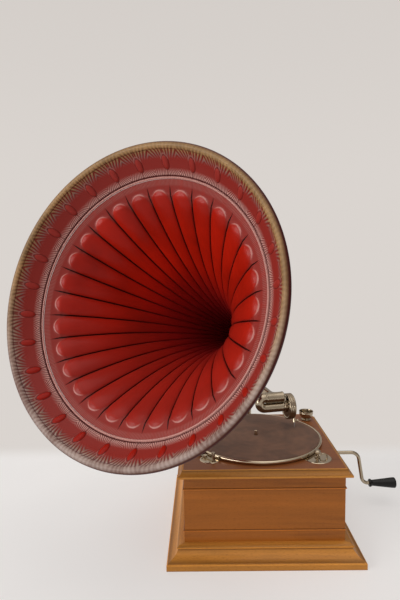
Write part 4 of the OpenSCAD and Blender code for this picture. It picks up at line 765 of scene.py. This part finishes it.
class GRAMOPHONE_OT_stage(bpy.types.Operator):
    """Floor, world, lamps and camera"""

    bl_idname = "gramophone.stage"
    bl_label = "Stage"

    def execute(self, context):
        stage = context.scene.gramophone.stage
        side = np.linspace(-FLOOR_HALF, FLOOR_HALF, 3)
        x, y = np.meshgrid(side, side)
        floor = surface("floor", paired(x, y, -FLOOR_DROP))
        floor.data.materials.append(pale_floor(stage))

        world = bpy.data.worlds.new("soft_room")
        context.scene.world = world
        world.use_nodes = True
        tree = world.node_tree
        tree.nodes.clear()
        # The room is lightest up and to the left, where its window is, and metal mirrors that
        facing = {0: coordinates(tree, "Generated"), 1: WINDOW_SIDE}
        facing = add(tree, "VectorMath", facing, operation="DOT_PRODUCT").outputs["Value"]
        level = step(facing, -1.0, 1.0, stage.ambient * 0.6, stage.ambient * 1.3)
        light = add(tree, "Background", {"Color": DAYLIGHT, "Strength": level})
        glossy = add(tree, "LightPath").outputs["Is Glossy Ray"]
        mirrored = step(facing, -0.75, 0.85, 0.3, 1.25)
        high = step(axis(tree, 2, "Generated"), 0.1, 0.5, 1.0, 0.94)
        strength = add(tree, "Mix", {0: glossy, 2: high, 3: mirrored}).outputs[0]
        wall = add(tree, "Background", {"Color": rgba(stage.background), "Strength": strength})
        mixed = add(tree, "MixShader", {0: seen(tree), 1: light.outputs[0], 2: wall.outputs[0]})
        add(tree, "OutputWorld", {"Surface": mixed.outputs[0]})

        for name, place, strength, spread in LAMPS:
            lamp = bpy.data.lights.new(name, "SUN")
            lamp.energy = strength
            lamp.angle = math.radians(spread)
            lamp.color = DAYLIGHT[:3]
            made = bpy.data.objects.new(name, lamp)
            context.scene.collection.objects.link(made)
            made.rotation_euler = Vector(place).to_track_quat("Z", "Y").to_euler()

        data = bpy.data.cameras.new("camera")
        data.sensor_width, data.lens = 36, stage.lens
        data.clip_start, data.clip_end = 0.02, 60
        camera = bpy.data.objects.new("camera", data)
        context.scene.collection.objects.link(camera)
        yaw, pitch, roll = CAMERA_TURN
        aimed = Euler((math.pi / 2 - pitch, 0, -yaw)).to_matrix().to_4x4()
        shift = Matrix.Translation(CAMERA_AT)
        camera.matrix_world = shift @ aimed @ Matrix.Rotation(roll, 4, "Z")
        context.scene.camera = camera
        context.scene.view_settings.view_transform = "Standard"
        return {"FINISHED"}


def horn_place(horn):
    """The horn's own axes in the frame, in millimetres: +Z runs out to the mouth."""
    turned = Euler((math.pi / 2 - horn.rise, 0, horn.swivel)).to_matrix().to_4x4()
    return Matrix.Translation((0, horn.pivot_y / MM, horn.pivot_z / MM)) @ turned


def bell_depth(horn, radius):
    """Depth behind the mouth at which the bell has a radius: its radius plus an offset falls
    exponentially with depth from the apron's inner edge, and the apron is a cone."""
    inner, apron = horn.band_inner / MM, horn.apron / MM
    start, deep = inner - apron, horn.band_depth / MM + APRON_RAKE * apron
    flared = deep - horn.flare / MM * np.log((radius + FLARE_OFFSET) / (start + FLARE_OFFSET))
    coned = horn.band_depth / MM + APRON_RAKE * (inner - radius)
    share = np.clip((radius - start) / 8 + 0.5, 0, 1)
    return flared + (coned - flared) * share**2 * (3 - 2 * share)


def on_bell(horn, radius, phase, height, cut):
    """Points of the bell. A point lies at its radius and at the depth that the flare gives,
    then moves by height along the sheet's normal, towards the axis and the mouth, and by cut
    the other way. phase counts flutes round the axis."""
    slope = (bell_depth(horn, radius - 0.1) - bell_depth(horn, radius + 0.1)) / 0.2
    level = np.sqrt(1 + slope**2)
    away = (cut - height) * slope / level
    angle = (phase + FIRST_SEAM) * 2 * np.pi / horn.flutes
    z = horn.mouth_far / MM - bell_depth(horn, radius) - (cut - height) / level
    return around(radius + away, angle, z)


class GRAMOPHONE_OT_bell(bpy.types.Operator):
    """Fluted bell: between two seams each flute bulges as a rounded arch, and its outer end is
    a blunt rounded tip"""

    bl_idname = "gramophone.bell"
    bl_label = "Fluted bell"

    def execute(self, context):
        horn = context.scene.gramophone.horn
        # Places across a flute, closer at its seams
        part = np.array([0, 0.022, 0.045, 0.08, 0.12, 0.17, 0.23, 0.31, 0.4])
        part = np.concatenate([part, [0.5], 1 - part[:0:-1]])
        phase = (np.arange(horn.flutes)[:, None] + part[None, :]).reshape(1, -1)
        edge = horn.band_inner / MM - 4.4
        radius = np.concatenate(
            [
                THROAT + 170 * np.linspace(0, 1, 42)[:-1] ** 1.2,
                np.linspace(THROAT + 170, 216, 24)[:-1],
                np.linspace(216, 224, 22)[:-1],
                np.linspace(224, edge, 10),
            ]
        )[:, None]
        off = np.abs(2 * (phase % 1) - 1) / TIP_SHARE
        beyond = np.clip((radius - FLUTE_FULL) / (FLUTE_END - FLUTE_FULL), 0, None)
        inside = np.clip(1 - off**2 - beyond**2, 0, 1)
        wide = 2 * np.pi * radius / horn.flutes
        height = horn.flute_height * wide * inside**0.72
        near = (1 - np.abs(2 * (phase % 1) - 1)) * wide / 2
        groove = np.clip(1 - near / SEAM_WIDTH, 0, 1) * np.clip((SEAM_END - radius) / 9, 0, 1)
        height = height - 1.4 * groove
        front = on_bell(horn, radius, phase, height, 0)
        back = on_bell(horn, radius, phase, height, horn.sheet / MM)
        points = moved(np.concatenate([front, back[::-1]]), horn_place(horn))
        u = np.append(phase, [[horn.flutes]], 1)
        uv = paired(u, np.concatenate([radius, radius[::-1], radius[:1]]))
        bell = tidy(surface("fluted_bell", points, (True, True), uv), 60)
        dress(bell, lacquer(horn), "horn", "horn_red", "horn_bell")
        return {"FINISHED"}


class GRAMOPHONE_OT_rim(bpy.types.Operator):
    """Rim band: a shallow dish between the ridge bead and the rolled edge, with a long oval
    boss raised over each seam"""

    bl_idname = "gramophone.rim"
    bl_label = "Rim band and rolled edge"

    def execute(self, context):
        horn = context.scene.gramophone.horn
        inner, wide, deep = horn.band_inner / MM, horn.band_width / MM, horn.band_depth / MM
        mouth, roll, place = horn.mouth_far / MM, horn.roll / MM, horn_place(horn)
        whole = math.hypot(wide, deep + 1)
        out = np.array([deep + 1, wide]) / whole
        t = np.linspace(0.012, 1, 44)
        sag = 2.5 * 4 * t * (1 - t)
        r = inner + wide * t + sag * out[0]
        z = mouth - (deep - (deep + 1) * t) - sag * out[1]
        bead = arc((inner - 2.4, mouth - deep - APRON_RAKE * 2.4), 2.0, 205, -20, 14)
        r, z = np.append(bead[:, 0], r), np.append(bead[:, 1], z)
        v = np.append(np.linspace(-6, -0.6, len(bead)), t * whole)
        phase = np.arange(horn.flutes * 44) / 44
        angle = (phase + FIRST_SEAM) * 2 * np.pi / horn.flutes
        along = ((((phase + 0.5) % 1) - 0.5)[None, :] * 2 * np.pi * r[:, None]) / horn.flutes
        across = (v - BOSS_AT)[:, None]
        shape = (along / BOSS_WIDE) ** 2 + (across / BOSS_LONG) ** 2
        lift = 2.4 * np.clip(1 - shape, 0, 1) ** 0.6 - 0.5 * np.exp(-(((shape - 1.2) / 0.3) ** 2))
        rope = 0.14 * np.cos(2 * np.pi * phase * 16) * (v < -0.5)[:, None]
        lift = lift * (v > 0)[:, None] + rope
        skins = []
        for cut in (0, horn.sheet / MM):
            radial = r[:, None] + (cut - lift) * out[0]
            depth = z[:, None] - (cut - lift) * out[1]
            skins.append(around(radial, angle, depth))
        # The back needs only every fifth row
        keep = np.r_[0 : len(r) - 1 : 5, len(r) - 1]
        points = np.concatenate([skins[0], skins[1][keep][::-1]])
        u = np.append(phase, horn.flutes)
        uv = paired(u, np.concatenate([v, v[keep][::-1], v[:1]])[:, None])
        look = band_lacquer(horn)
        band = tidy(surface("embossed_band", moved(points, place), (True, True), uv), 50)
        dress(band, look, "horn", "horn_band", "horn_rim", "rim_bosses")
        # The roll's outline starts where it meets the band and runs over the front
        start, end = 172, -188
        outline = arc((horn.mouth_radius / MM - roll, mouth), roll, start, end, 33)[:-1]
        lathed = around(outline[:, :1], angle, outline[:, 1:])
        run = whole + np.radians(start - np.linspace(start, end, 33)) * roll
        uv = paired(u, run[:, None])
        edge = tidy(surface("rolled_edge", moved(lathed, place), (True, True), uv))
        dress(edge, look, "horn", "horn_band")
        return {"FINISHED"}


class GRAMOPHONE_OT_case(bpy.types.Operator):
    """Plinth, beads and deck moulding: outlines with rounded arrises carried round a square and
    mitred, and the finish of the boards"""

    bl_idname = "gramophone.case"
    bl_label = "Case"

    def execute(self, context):
        case = context.scene.gramophone.case
        half, high = case.body_width / MM / 2, case.plinth_height / MM
        out = case.plinth_width / MM / 2 - half
        # Upright face, inset step, hollow 3 mm deep and a shelf under the top bead
        inset, shelf = 2.6, out * 0.36
        bottom, end = np.array([out - inset, 15.6]), np.array([shelf, high - 8.4])
        t = np.linspace(0, 1, 14)[:, None]
        normal = np.array([end[1] - bottom[1], bottom[0] - end[0]])
        normal = normal / np.linalg.norm(normal)
        hollow = bottom + (end - bottom) * t - normal * 3.0 * 4 * t * (1 - t)
        face = smooth([(0, 0), (out, 0), (out, 13.2), (out - inset, 13.9), bottom], 0.8, 5)[4:-5]
        cap = arc((shelf - 0.6, high - 4.6), 2.9, -60, 60, 8)
        outline = np.concatenate([[(0, 0)], face, hollow, cap, [(shelf - 3, high), (0, high)]])
        plinth = mitred("plinth_moulding", outline, half, 0)
        # Painted light and shade by height on the plinth: highlights along its arrises and on the
        # sloping hollow, shade in the quirks and along the foot
        light_bands = [
            (0, 0.5), (1.2, 0.95), (10.5, 0.98), (12.6, 1.5), (13.7, 1.2), (14.4, 0.5),
            (16, 0.62), (19, 1.05), (25, 1.28), (30, 1.1), (32.4, 0.6), (33.6, 0.5),
            (34.8, 1.4), (36.4, 1.35), (38, 0.8), (40.6, 0.9), (40.9, 1.1),
        ]
        honey = wood("varnished_plinth_wood", case.honey, light_bands=light_bands)
        dress(plinth, honey, "case", "oak", "plinth")

        bead, base = case.bead / MM, case.body_height / MM
        levels = (high + BEADS_AT[0], base - BEADS_AT[1])
        beads = []
        for k, level in enumerate(levels):
            bulge = arc((0, bead / 2), bead / 2 + 0.35, -78, 78, 14)
            outline = np.concatenate([bulge, [(0, bead), (0, 0)]])
            outline[:, 1] = np.clip(outline[:, 1], 0, bead)
            beads.append(mitred(f"bead_{k}", outline, half, level - bead / 2))
        # Painted light and shade by height on each bead: a highlight on its lower half, shade above
        # it
        lines = [(-1.9, 0.8), (-1.5, 1.9), (-0.1, 1.9), (0.4, 1.2), (0.9, 0.6), (1.9, 0.55)]
        lines = [(level + z, shade) for level in levels for z, shade in lines]
        brown = wood("varnished_bead_wood", case.brown, light_bands=lines)
        dress(joined("bead_mouldings", beads), brown, "case", "oak", "case_beads")

        edge, thick = case.deck_edge / MM, case.deck_thickness / MM
        field = case.deck_width / MM / 2 - edge
        hollow = arc((edge + 1, thick - 1.2), edge * 0.8, 265, 182, 14)
        foot = smooth([(0, 0), (edge, 0), (edge, hollow[0, 1]), hollow[1]], 0.9, 5)[5:-5]
        fillet = [(2.7, thick - 1.7), (2.5, thick - 0.3), (2.1, thick), (0, thick)]
        outline = np.concatenate([[(0, 0)], foot, hollow[1:], fillet])
        moulding = mitred("deck_edge_moulding", outline, field, base)
        # Painted light and shade by height on the deck moulding: highlights along its top arris and
        # lower edge, shade under the arris and in the hollow
        lines = [
            (0, 0.9), (2.4, 1.25), (4.6, 0.85), (11, 0.72), (12.4, 0.5), (13.8, 0.5),
            (14.6, 1.5), (15.3, 1.1),
        ]
        lines = [(base + z, shade) for z, shade in lines]
        edging = wood("varnished_edge_wood", case.honey, light_bands=lines)
        dress(moulding, edging, "case", "oak", "deck_moulding")

        flat = wood("varnished_wood_boards", case.brown, by_uv=False)
        sides = wood("varnished_wood_side_boards", case.brown, by_uv=False, turned=True)
        paint(flat, "front_panel", "back_panel", "corner_blocks", "bottom_board")
        paint(sides, "side_panels")
        paint(wood("dark_varnished_deck", case.dark, by_uv=False), "deck_board")
        return {"FINISHED"}


class GRAMOPHONE_OT_turntable(bpy.types.Operator):
    """Felt with a soft rounded edge, and the pressed platter: a plate with a boss below, and a
    full round rim rolled over its edge"""

    bl_idname = "gramophone.turntable"
    bl_label = "Turntable"

    def execute(self, context):
        table = context.scene.gramophone.table
        top, reach = table.felt_top / MM, table.felt_radius / MM
        plate, rim = top - table.felt_thickness / MM, table.radius / MM
        outline = np.concatenate(
            [
                [(4.8, plate), (4.8, top - 0.3), (5.6, top)],
                [(r, top) for r in np.linspace(12, reach - 3, 12)],
                arc((reach - 1.2, plate + 0.7), 1.2, 90, 0, 6),
                [(reach, plate)],
            ]
        )
        felt = lathe("felt_mat_cloth", outline, sides=192)
        dress(felt, felt_cloth(table), "turntable", "felt", "felt_mat")

        outline = np.concatenate(
            [
                [(5, 198.7), (16, 198.7), (18, 200.9), (22, plate - 1.6)],
                [(rim - 6, plate - 1.6), (rim - 4.2, plate - 2.6), (rim - 3.6, 199.4)],
                arc((rim - 2, 201.1), 2, -130, 0, 6),
                arc((rim - 3, 203.3), 3, 0, 150, 12),
                [(rim - 5.6, plate), (5, plate)],
            ]
        )
        # Nickel made half as light again: a painted highlight on the rim
        bright = plated("bright_nickel_rim", [1.5 * c for c in table.nickel], 0.12, 0.12)
        dress(lathe("turned_platter", outline, sides=256), bright, "turntable", "nickel", "platter")
        return {"FINISHED"}


class GRAMOPHONE_OT_cup(bpy.types.Operator):
    """Needle cup: a turned bowl with a rolled lip on a spreading foot"""

    bl_idname = "gramophone.cup"
    bl_label = "Needle cup"

    def execute(self, context):
        bowl = [
            (0.05, 0), (9, 0), (11.8, 0.8), (12.2, 2.2), (9.8, 3.6), (9.6, 4.6), (13.5, 8),
            (16.6, 13), (18.2, 19), (17.6, 21.4), (18.5, 22.8), (18.4, 24), (16.8, 24),
            (16.2, 21), (15, 13.6), (12.4, 9.2), (8, 6), (0.05, 5),
        ]
        outline = smooth(bowl, 1.6)
        outline[:, 0] = np.clip(outline[:, 0], 0, None)
        cup = lathe("turned_needle_cup", outline, Matrix.Translation(CUP_AT), 96)
        plate = plated("bright_nickel_cup", context.scene.gramophone.table.nickel, 0.14, 0.3)
        dress(cup, plate, "case", "nickel", "needle_cup")
        return {"FINISHED"}


def arm_place(arm):
    """The tone arm's own axes in the frame, in millimetres: the arm runs towards -Y."""
    return Matrix.Translation(ARM_PIVOT) @ Matrix.Rotation(arm.swing, 4, "Z")


def head_place(arm):
    """The cross sleeve's own axes in the frame, in millimetres: the sleeve lies along X."""
    shift = Matrix.Translation((0, -arm.reach / MM, arm.axis_height / MM))
    return arm_place(arm) @ shift @ Matrix.Rotation(arm.head - arm.swing, 4, "Z")


def neck_reach(arm):
    """Where the gooseneck's legs end along the sleeve, to its left and right."""
    half = arm.sleeve / MM / 2
    return SLEEVE_AT - half - NECK_LEFT, SLEEVE_AT + half + NECK_RIGHT


class GRAMOPHONE_OT_arm(bpy.types.Operator):
    """Tone arm: a tapered tube that comes down and forward, and a cross sleeve whose saddle
    wraps the tube's end on to it"""

    bl_idname = "gramophone.arm"
    bl_label = "Tone arm"

    def execute(self, context):
        settings = context.scene.gramophone
        arm, nickel = settings.arm, settings.table.nickel
        bend, high, reach = arm.bend / MM, arm.axis_height / MM, arm.reach / MM
        a = np.radians(np.linspace(0, 90, 40))
        curve = paired(0, -bend * (1 - np.cos(a)), high + bend - bend * np.sin(a))
        straight = paired(0, np.linspace(-bend, -(reach - 15), 30)[1:], high)
        path = np.concatenate([curve, straight])
        run = np.append(0, np.cumsum(np.linalg.norm(np.diff(path, axis=0), axis=1)))
        radius = (arm.wide + (arm.narrow - arm.wide) * run / run[-1]) / MM
        tube = pipe("tapered_arm_tube", path, radius, 1.2, (1, 0, 0), arm_place(arm))
        plate = plated("old_nickel_arm", nickel, 0.17, 0.3)
        dress(tube, plate, "tonearm", "nickel", "tonearm_tube")

        bore, half = 10.1, arm.sleeve / MM / 2
        outline = [
            (bore, -half), (12.4, -half), (13, -half + 0.8), (13, -half + 2.6),
            (12.6, -half + 3.6), (12.6, half - 4.4), (13.1, half - 3.2), (13.2, half - 2),
            (12.9, half - 0.6), (12.1, half), (bore, half),
        ]
        lay = head_place(arm) @ Matrix.Translation((SLEEVE_AT, 0, 0)) @ SIDEWAYS
        sleeve = lathe("sleeve_tube", smooth(outline, 0.6, 3), lay, 96)
        # Saddle: the stub's wall runs down on to the sleeve and spreads along it
        angle = circle(96)[None, :]
        t = np.linspace(0, 1, 20)[:, None]
        spread = 4.5 * np.cos(angle) ** 2 * np.clip((t - 0.45) / 0.55, 0, 1) ** 2.5
        down = np.sqrt(np.clip(12.1**2 - (12.0 * np.sin(angle)) ** 2, 0, None)) - 0.4
        stub = head_place(arm) @ Matrix.Rotation(arm.swing - arm.head, 4, "Z")
        walls = [
            paired(r * np.cos(angle), 26 + (down - 26) * t, r * np.sin(angle))
            for r in (12.4 - 0.5 * (1 - t) + spread, 10.6)
        ]
        skin = moved(np.concatenate([walls[0], walls[1][::-1]]), stub)
        saddle = tidy(surface("saddle", skin, (True, True)))
        both = joined("cross_sleeve", [sleeve, saddle])
        dress(both, plate, "tonearm", "nickel", "tonearm_sleeve")
        return {"FINISHED"}


class GRAMOPHONE_OT_gooseneck(bpy.types.Operator):
    """Gooseneck: a tube that turns back under the sleeve in a half circle"""

    bl_idname = "gramophone.gooseneck"
    bl_label = "Gooseneck"

    def execute(self, context):
        settings = context.scene.gramophone
        arm, nickel = settings.arm, settings.table.nickel
        left, right = neck_reach(arm)
        half = arm.drop / MM / 2
        a = np.radians(np.linspace(90, 270, 48))[1:]
        path = np.concatenate(
            [
                paired(np.linspace(left + 1.6, left, 4), 0, 0),
                paired(left + half * np.cos(a), 0, half * np.sin(a) - half),
                paired(np.linspace(left, right, 16)[1:], 0, -2 * half),
            ]
        )
        plate = plated("old_nickel_neck", nickel, 0.15, 0.3)
        neck = pipe("turned_back_neck", path, arm.neck / MM, 1.4, (0, 1, 0), head_place(arm))
        ring = [(8.6, left + 1), (10, left + 1), (10, right - 9), (8.6, right - 9)]
        journal = lathe("journal", ring, head_place(arm) @ SIDEWAYS)
        dress(joined("gooseneck_tube", [neck, journal]), plate, "gooseneck", "nickel", "gooseneck")
        return {"FINISHED"}


class GRAMOPHONE_OT_soundbox(bpy.types.Operator):
    """Soundbox: a turned case with a stepped, slightly domed back and two grooves round its
    edge, and the ring that holds the diaphragm"""

    bl_idname = "gramophone.soundbox"
    bl_label = "Soundbox"

    def execute(self, context):
        settings = context.scene.gramophone
        arm, nickel = settings.arm, settings.table.nickel
        rim, deep = arm.box / MM, arm.box_depth / MM
        shift = Matrix.Translation((neck_reach(arm)[1], 0, -arm.drop / MM))
        lay = head_place(arm) @ shift @ SIDEWAYS
        case = [
            (11, -6), (13.2, -6), (14.6, -5.2), (14.8, -3.6), (13.8, -2.6), (13.8, -0.9),
            (17, -0.7), (23.5, 0.1), (25, 1.1), (26.4, 1.1), (27.4, 0.2), (30, 0.3),
            (rim, 1.6), (rim, 4), (rim - 1, 4.8), (rim - 1, 5.4), (rim, 6.2), (rim, 9.4),
            (rim - 1, 10.2), (rim - 1, 10.8), (rim, 11.6), (rim, deep), (rim - 3, deep),
            (rim - 3, 3), (9.6, 3), (9.6, 0), (11, 0),
        ]
        plate = plated("bright_nickel_soundbox", nickel, 0.13, 0.3)
        shell = lathe("soundbox_shell", smooth(case, 0.7), lay)
        dress(shell, plate, "gooseneck", "nickel", "soundbox_case")
        ring = [
            (rim - 7.5, deep), (rim, deep), (rim, deep + 2.4), (rim - 1.4, deep + 4),
            (rim - 5.4, deep + 4), (rim - 7.5, deep + 1.5),
        ]
        front = lathe("soundbox_front_ring", smooth(ring, 0.9, 5), lay)
        dress(front, plate, "gooseneck", "nickel", "soundbox_ring")
        return {"FINISHED"}


class GRAMOPHONE_OT_grip(bpy.types.Operator):
    """Crank grip: turned from one piece, with a collar and a straight cone that widens to a
    flat end"""

    bl_idname = "gramophone.grip"
    bl_label = "Crank grip"

    def execute(self, context):
        settings = context.scene.gramophone
        arm, table = settings.arm, settings.table
        whole, wide = arm.grip_length / MM, arm.grip_radius / MM
        outline = [
            (4.1, 0), (8.2, 0), (9.7, 1.4), (9.7, 4.6), (7.6, 6.8), (7.4, 9.5),
            (wide - 1.4, whole * 0.9), (wide - 1.2, whole - 2), (wide - 2.6, whole),
            (6.4, whole), (6.4, whole - 3.5), (4.1, whole - 3.5),
        ]
        at = (arm.grip_start / MM, arm.crank_back / MM, arm.grip_height / MM)
        place = Matrix.Translation(at) @ SIDEWAYS
        grip = lathe("turned_grip", smooth(outline, 1.0, 5), place, 96)
        ebony = grained(
            "ebonised_hardwood", table.grip, 0.0, 0.28, 40, 0.1, Specular_IOR_Level=0.3
        )
        dress(grip, ebony, "grip", "ebonised", "crank_grip")
        return {"FINISHED"}


class GRAMOPHONE_OT_finishes(bpy.types.Operator):
    """Finishes of the metal, wood, leather and rubber parts that keep their CAD shape"""

    bl_idname = "gramophone.finishes"
    bl_label = "Finishes"

    def execute(self, context):
        settings = context.scene.gramophone
        table, horn = settings.table, settings.horn
        # Nickel made 1.4 times as light: painted highlights on the spindle, needle, screw, dial and
        # brake plate
        bright = plated("bright_nickel_plate", [1.4 * c for c in table.nickel], 0.12, 0.15)
        paint(bright, "spindle", "needle_bar", "needle_screw", "dial_plate", "brake_plate")
        old = "crank_escutcheon nickel_screws brake_lever crank_rod tonearm_collar rear_bracket"
        paint(plated("old_nickel_plate", table.nickel), *old.split(), "speed_knob")
        steel = (
            "case_screws motor_pillars motor_bolts winding_shaft barrel_arbor barrel_drum "
            "barrel_cover intermediate_arbor governor_shaft needle speed_lever"
        )
        iron = "motor_top_plate motor_bottom_plate motor_brackets"
        # Each finish's colour, metal, roughness, patches, grain and nodes
        plain = {
            "bright_turned_steel": (table.steel, 1.0, 0.3, 60, 0.1, steel),
            "blued_spring_steel": ("3A4354", 1.0, 0.35, 80, 0.1, "mainspring governor_springs"),
            "cut_brass": (
                table.brass, 1.0, 0.3, 70, 0.1, "winding_wheel intermediate_wheel governor_disc",
            ),
            "japanned_iron": (table.iron, 0.0, 0.3, 50, 0.2, iron),
            "red_rubber": ("6B2E22", 0.0, 0.7, 90, 0.2, "motor_washers"),
            "pale_rubber": ("B9B2A2", 0.0, 0.7, 90, 0.2, "soundbox_gaskets"),
            "brown_leather": ("5A3B25", 0.0, 0.65, 200, 0.5, "brake_pad"),
            "pressed_fibre": ("6E4526", 0.0, 0.6, 150, 0.3, "governor_wheel"),
            "cast_lead": ("5C5E62", 1.0, 0.5, 90, 0.3, "governor_weights"),
            "clear_mica": ("D8D2C0", 0.0, 0.12, 60, 0.05, "diaphragm"),
            "plain_red_lacquer": (horn.red, 0.0, 0.35, 30, 0.05, "horn_elbow horn_ferrule"),
        }
        more = {
            "japanned_iron": {"Coat_Weight": 0.5},
            "clear_mica": {"IOR": 1.56, "Transmission_Weight": 0.6},
            "plain_red_lacquer": {"Coat_Weight": 0.3},
        }
        for name, (*looks, nodes) in plain.items():
            paint(grained(name, *looks, **more.get(name, {})), *nodes.split())
        return {"FINISHED"}


class GRAMOPHONE_PT_panel(bpy.types.Panel):
    """Lists the pieces in the order in which they are made"""

    bl_label = "Gramophone"
    bl_space_type = "VIEW_3D"
    bl_region_type = "UI"
    bl_category = "Gramophone"

    def draw(self, context):
        for operator in OPERATORS:
            self.layout.operator(operator.bl_idname)


OPERATORS = [
    GRAMOPHONE_OT_stage,
    GRAMOPHONE_OT_bell,
    GRAMOPHONE_OT_rim,
    GRAMOPHONE_OT_case,
    GRAMOPHONE_OT_turntable,
    GRAMOPHONE_OT_cup,
    GRAMOPHONE_OT_arm,
    GRAMOPHONE_OT_gooseneck,
    GRAMOPHONE_OT_soundbox,
    GRAMOPHONE_OT_grip,
    GRAMOPHONE_OT_finishes,
]
SETTINGS = [HornSettings, CaseSettings, TurntableSettings, ArmSettings, StageSettings]
CLASSES = [*SETTINGS, GramophoneSettings, *OPERATORS, GRAMOPHONE_PT_panel]


def register():
    """Registers the settings, operators and panel."""
    for item in CLASSES:
        bpy.utils.register_class(item)
    bpy.types.Scene.gramophone = PointerProperty(type=GramophoneSettings)


def unregister():
    """Takes them out again."""
    del bpy.types.Scene.gramophone
    for item in reversed(CLASSES):
        bpy.utils.unregister_class(item)


def main():
    """Makes every piece in order."""
    register()
    for operator in OPERATORS:
        group, name = operator.bl_idname.split(".")
        getattr(getattr(bpy.ops, group), name)()


if __name__ == "__main__":
    main()
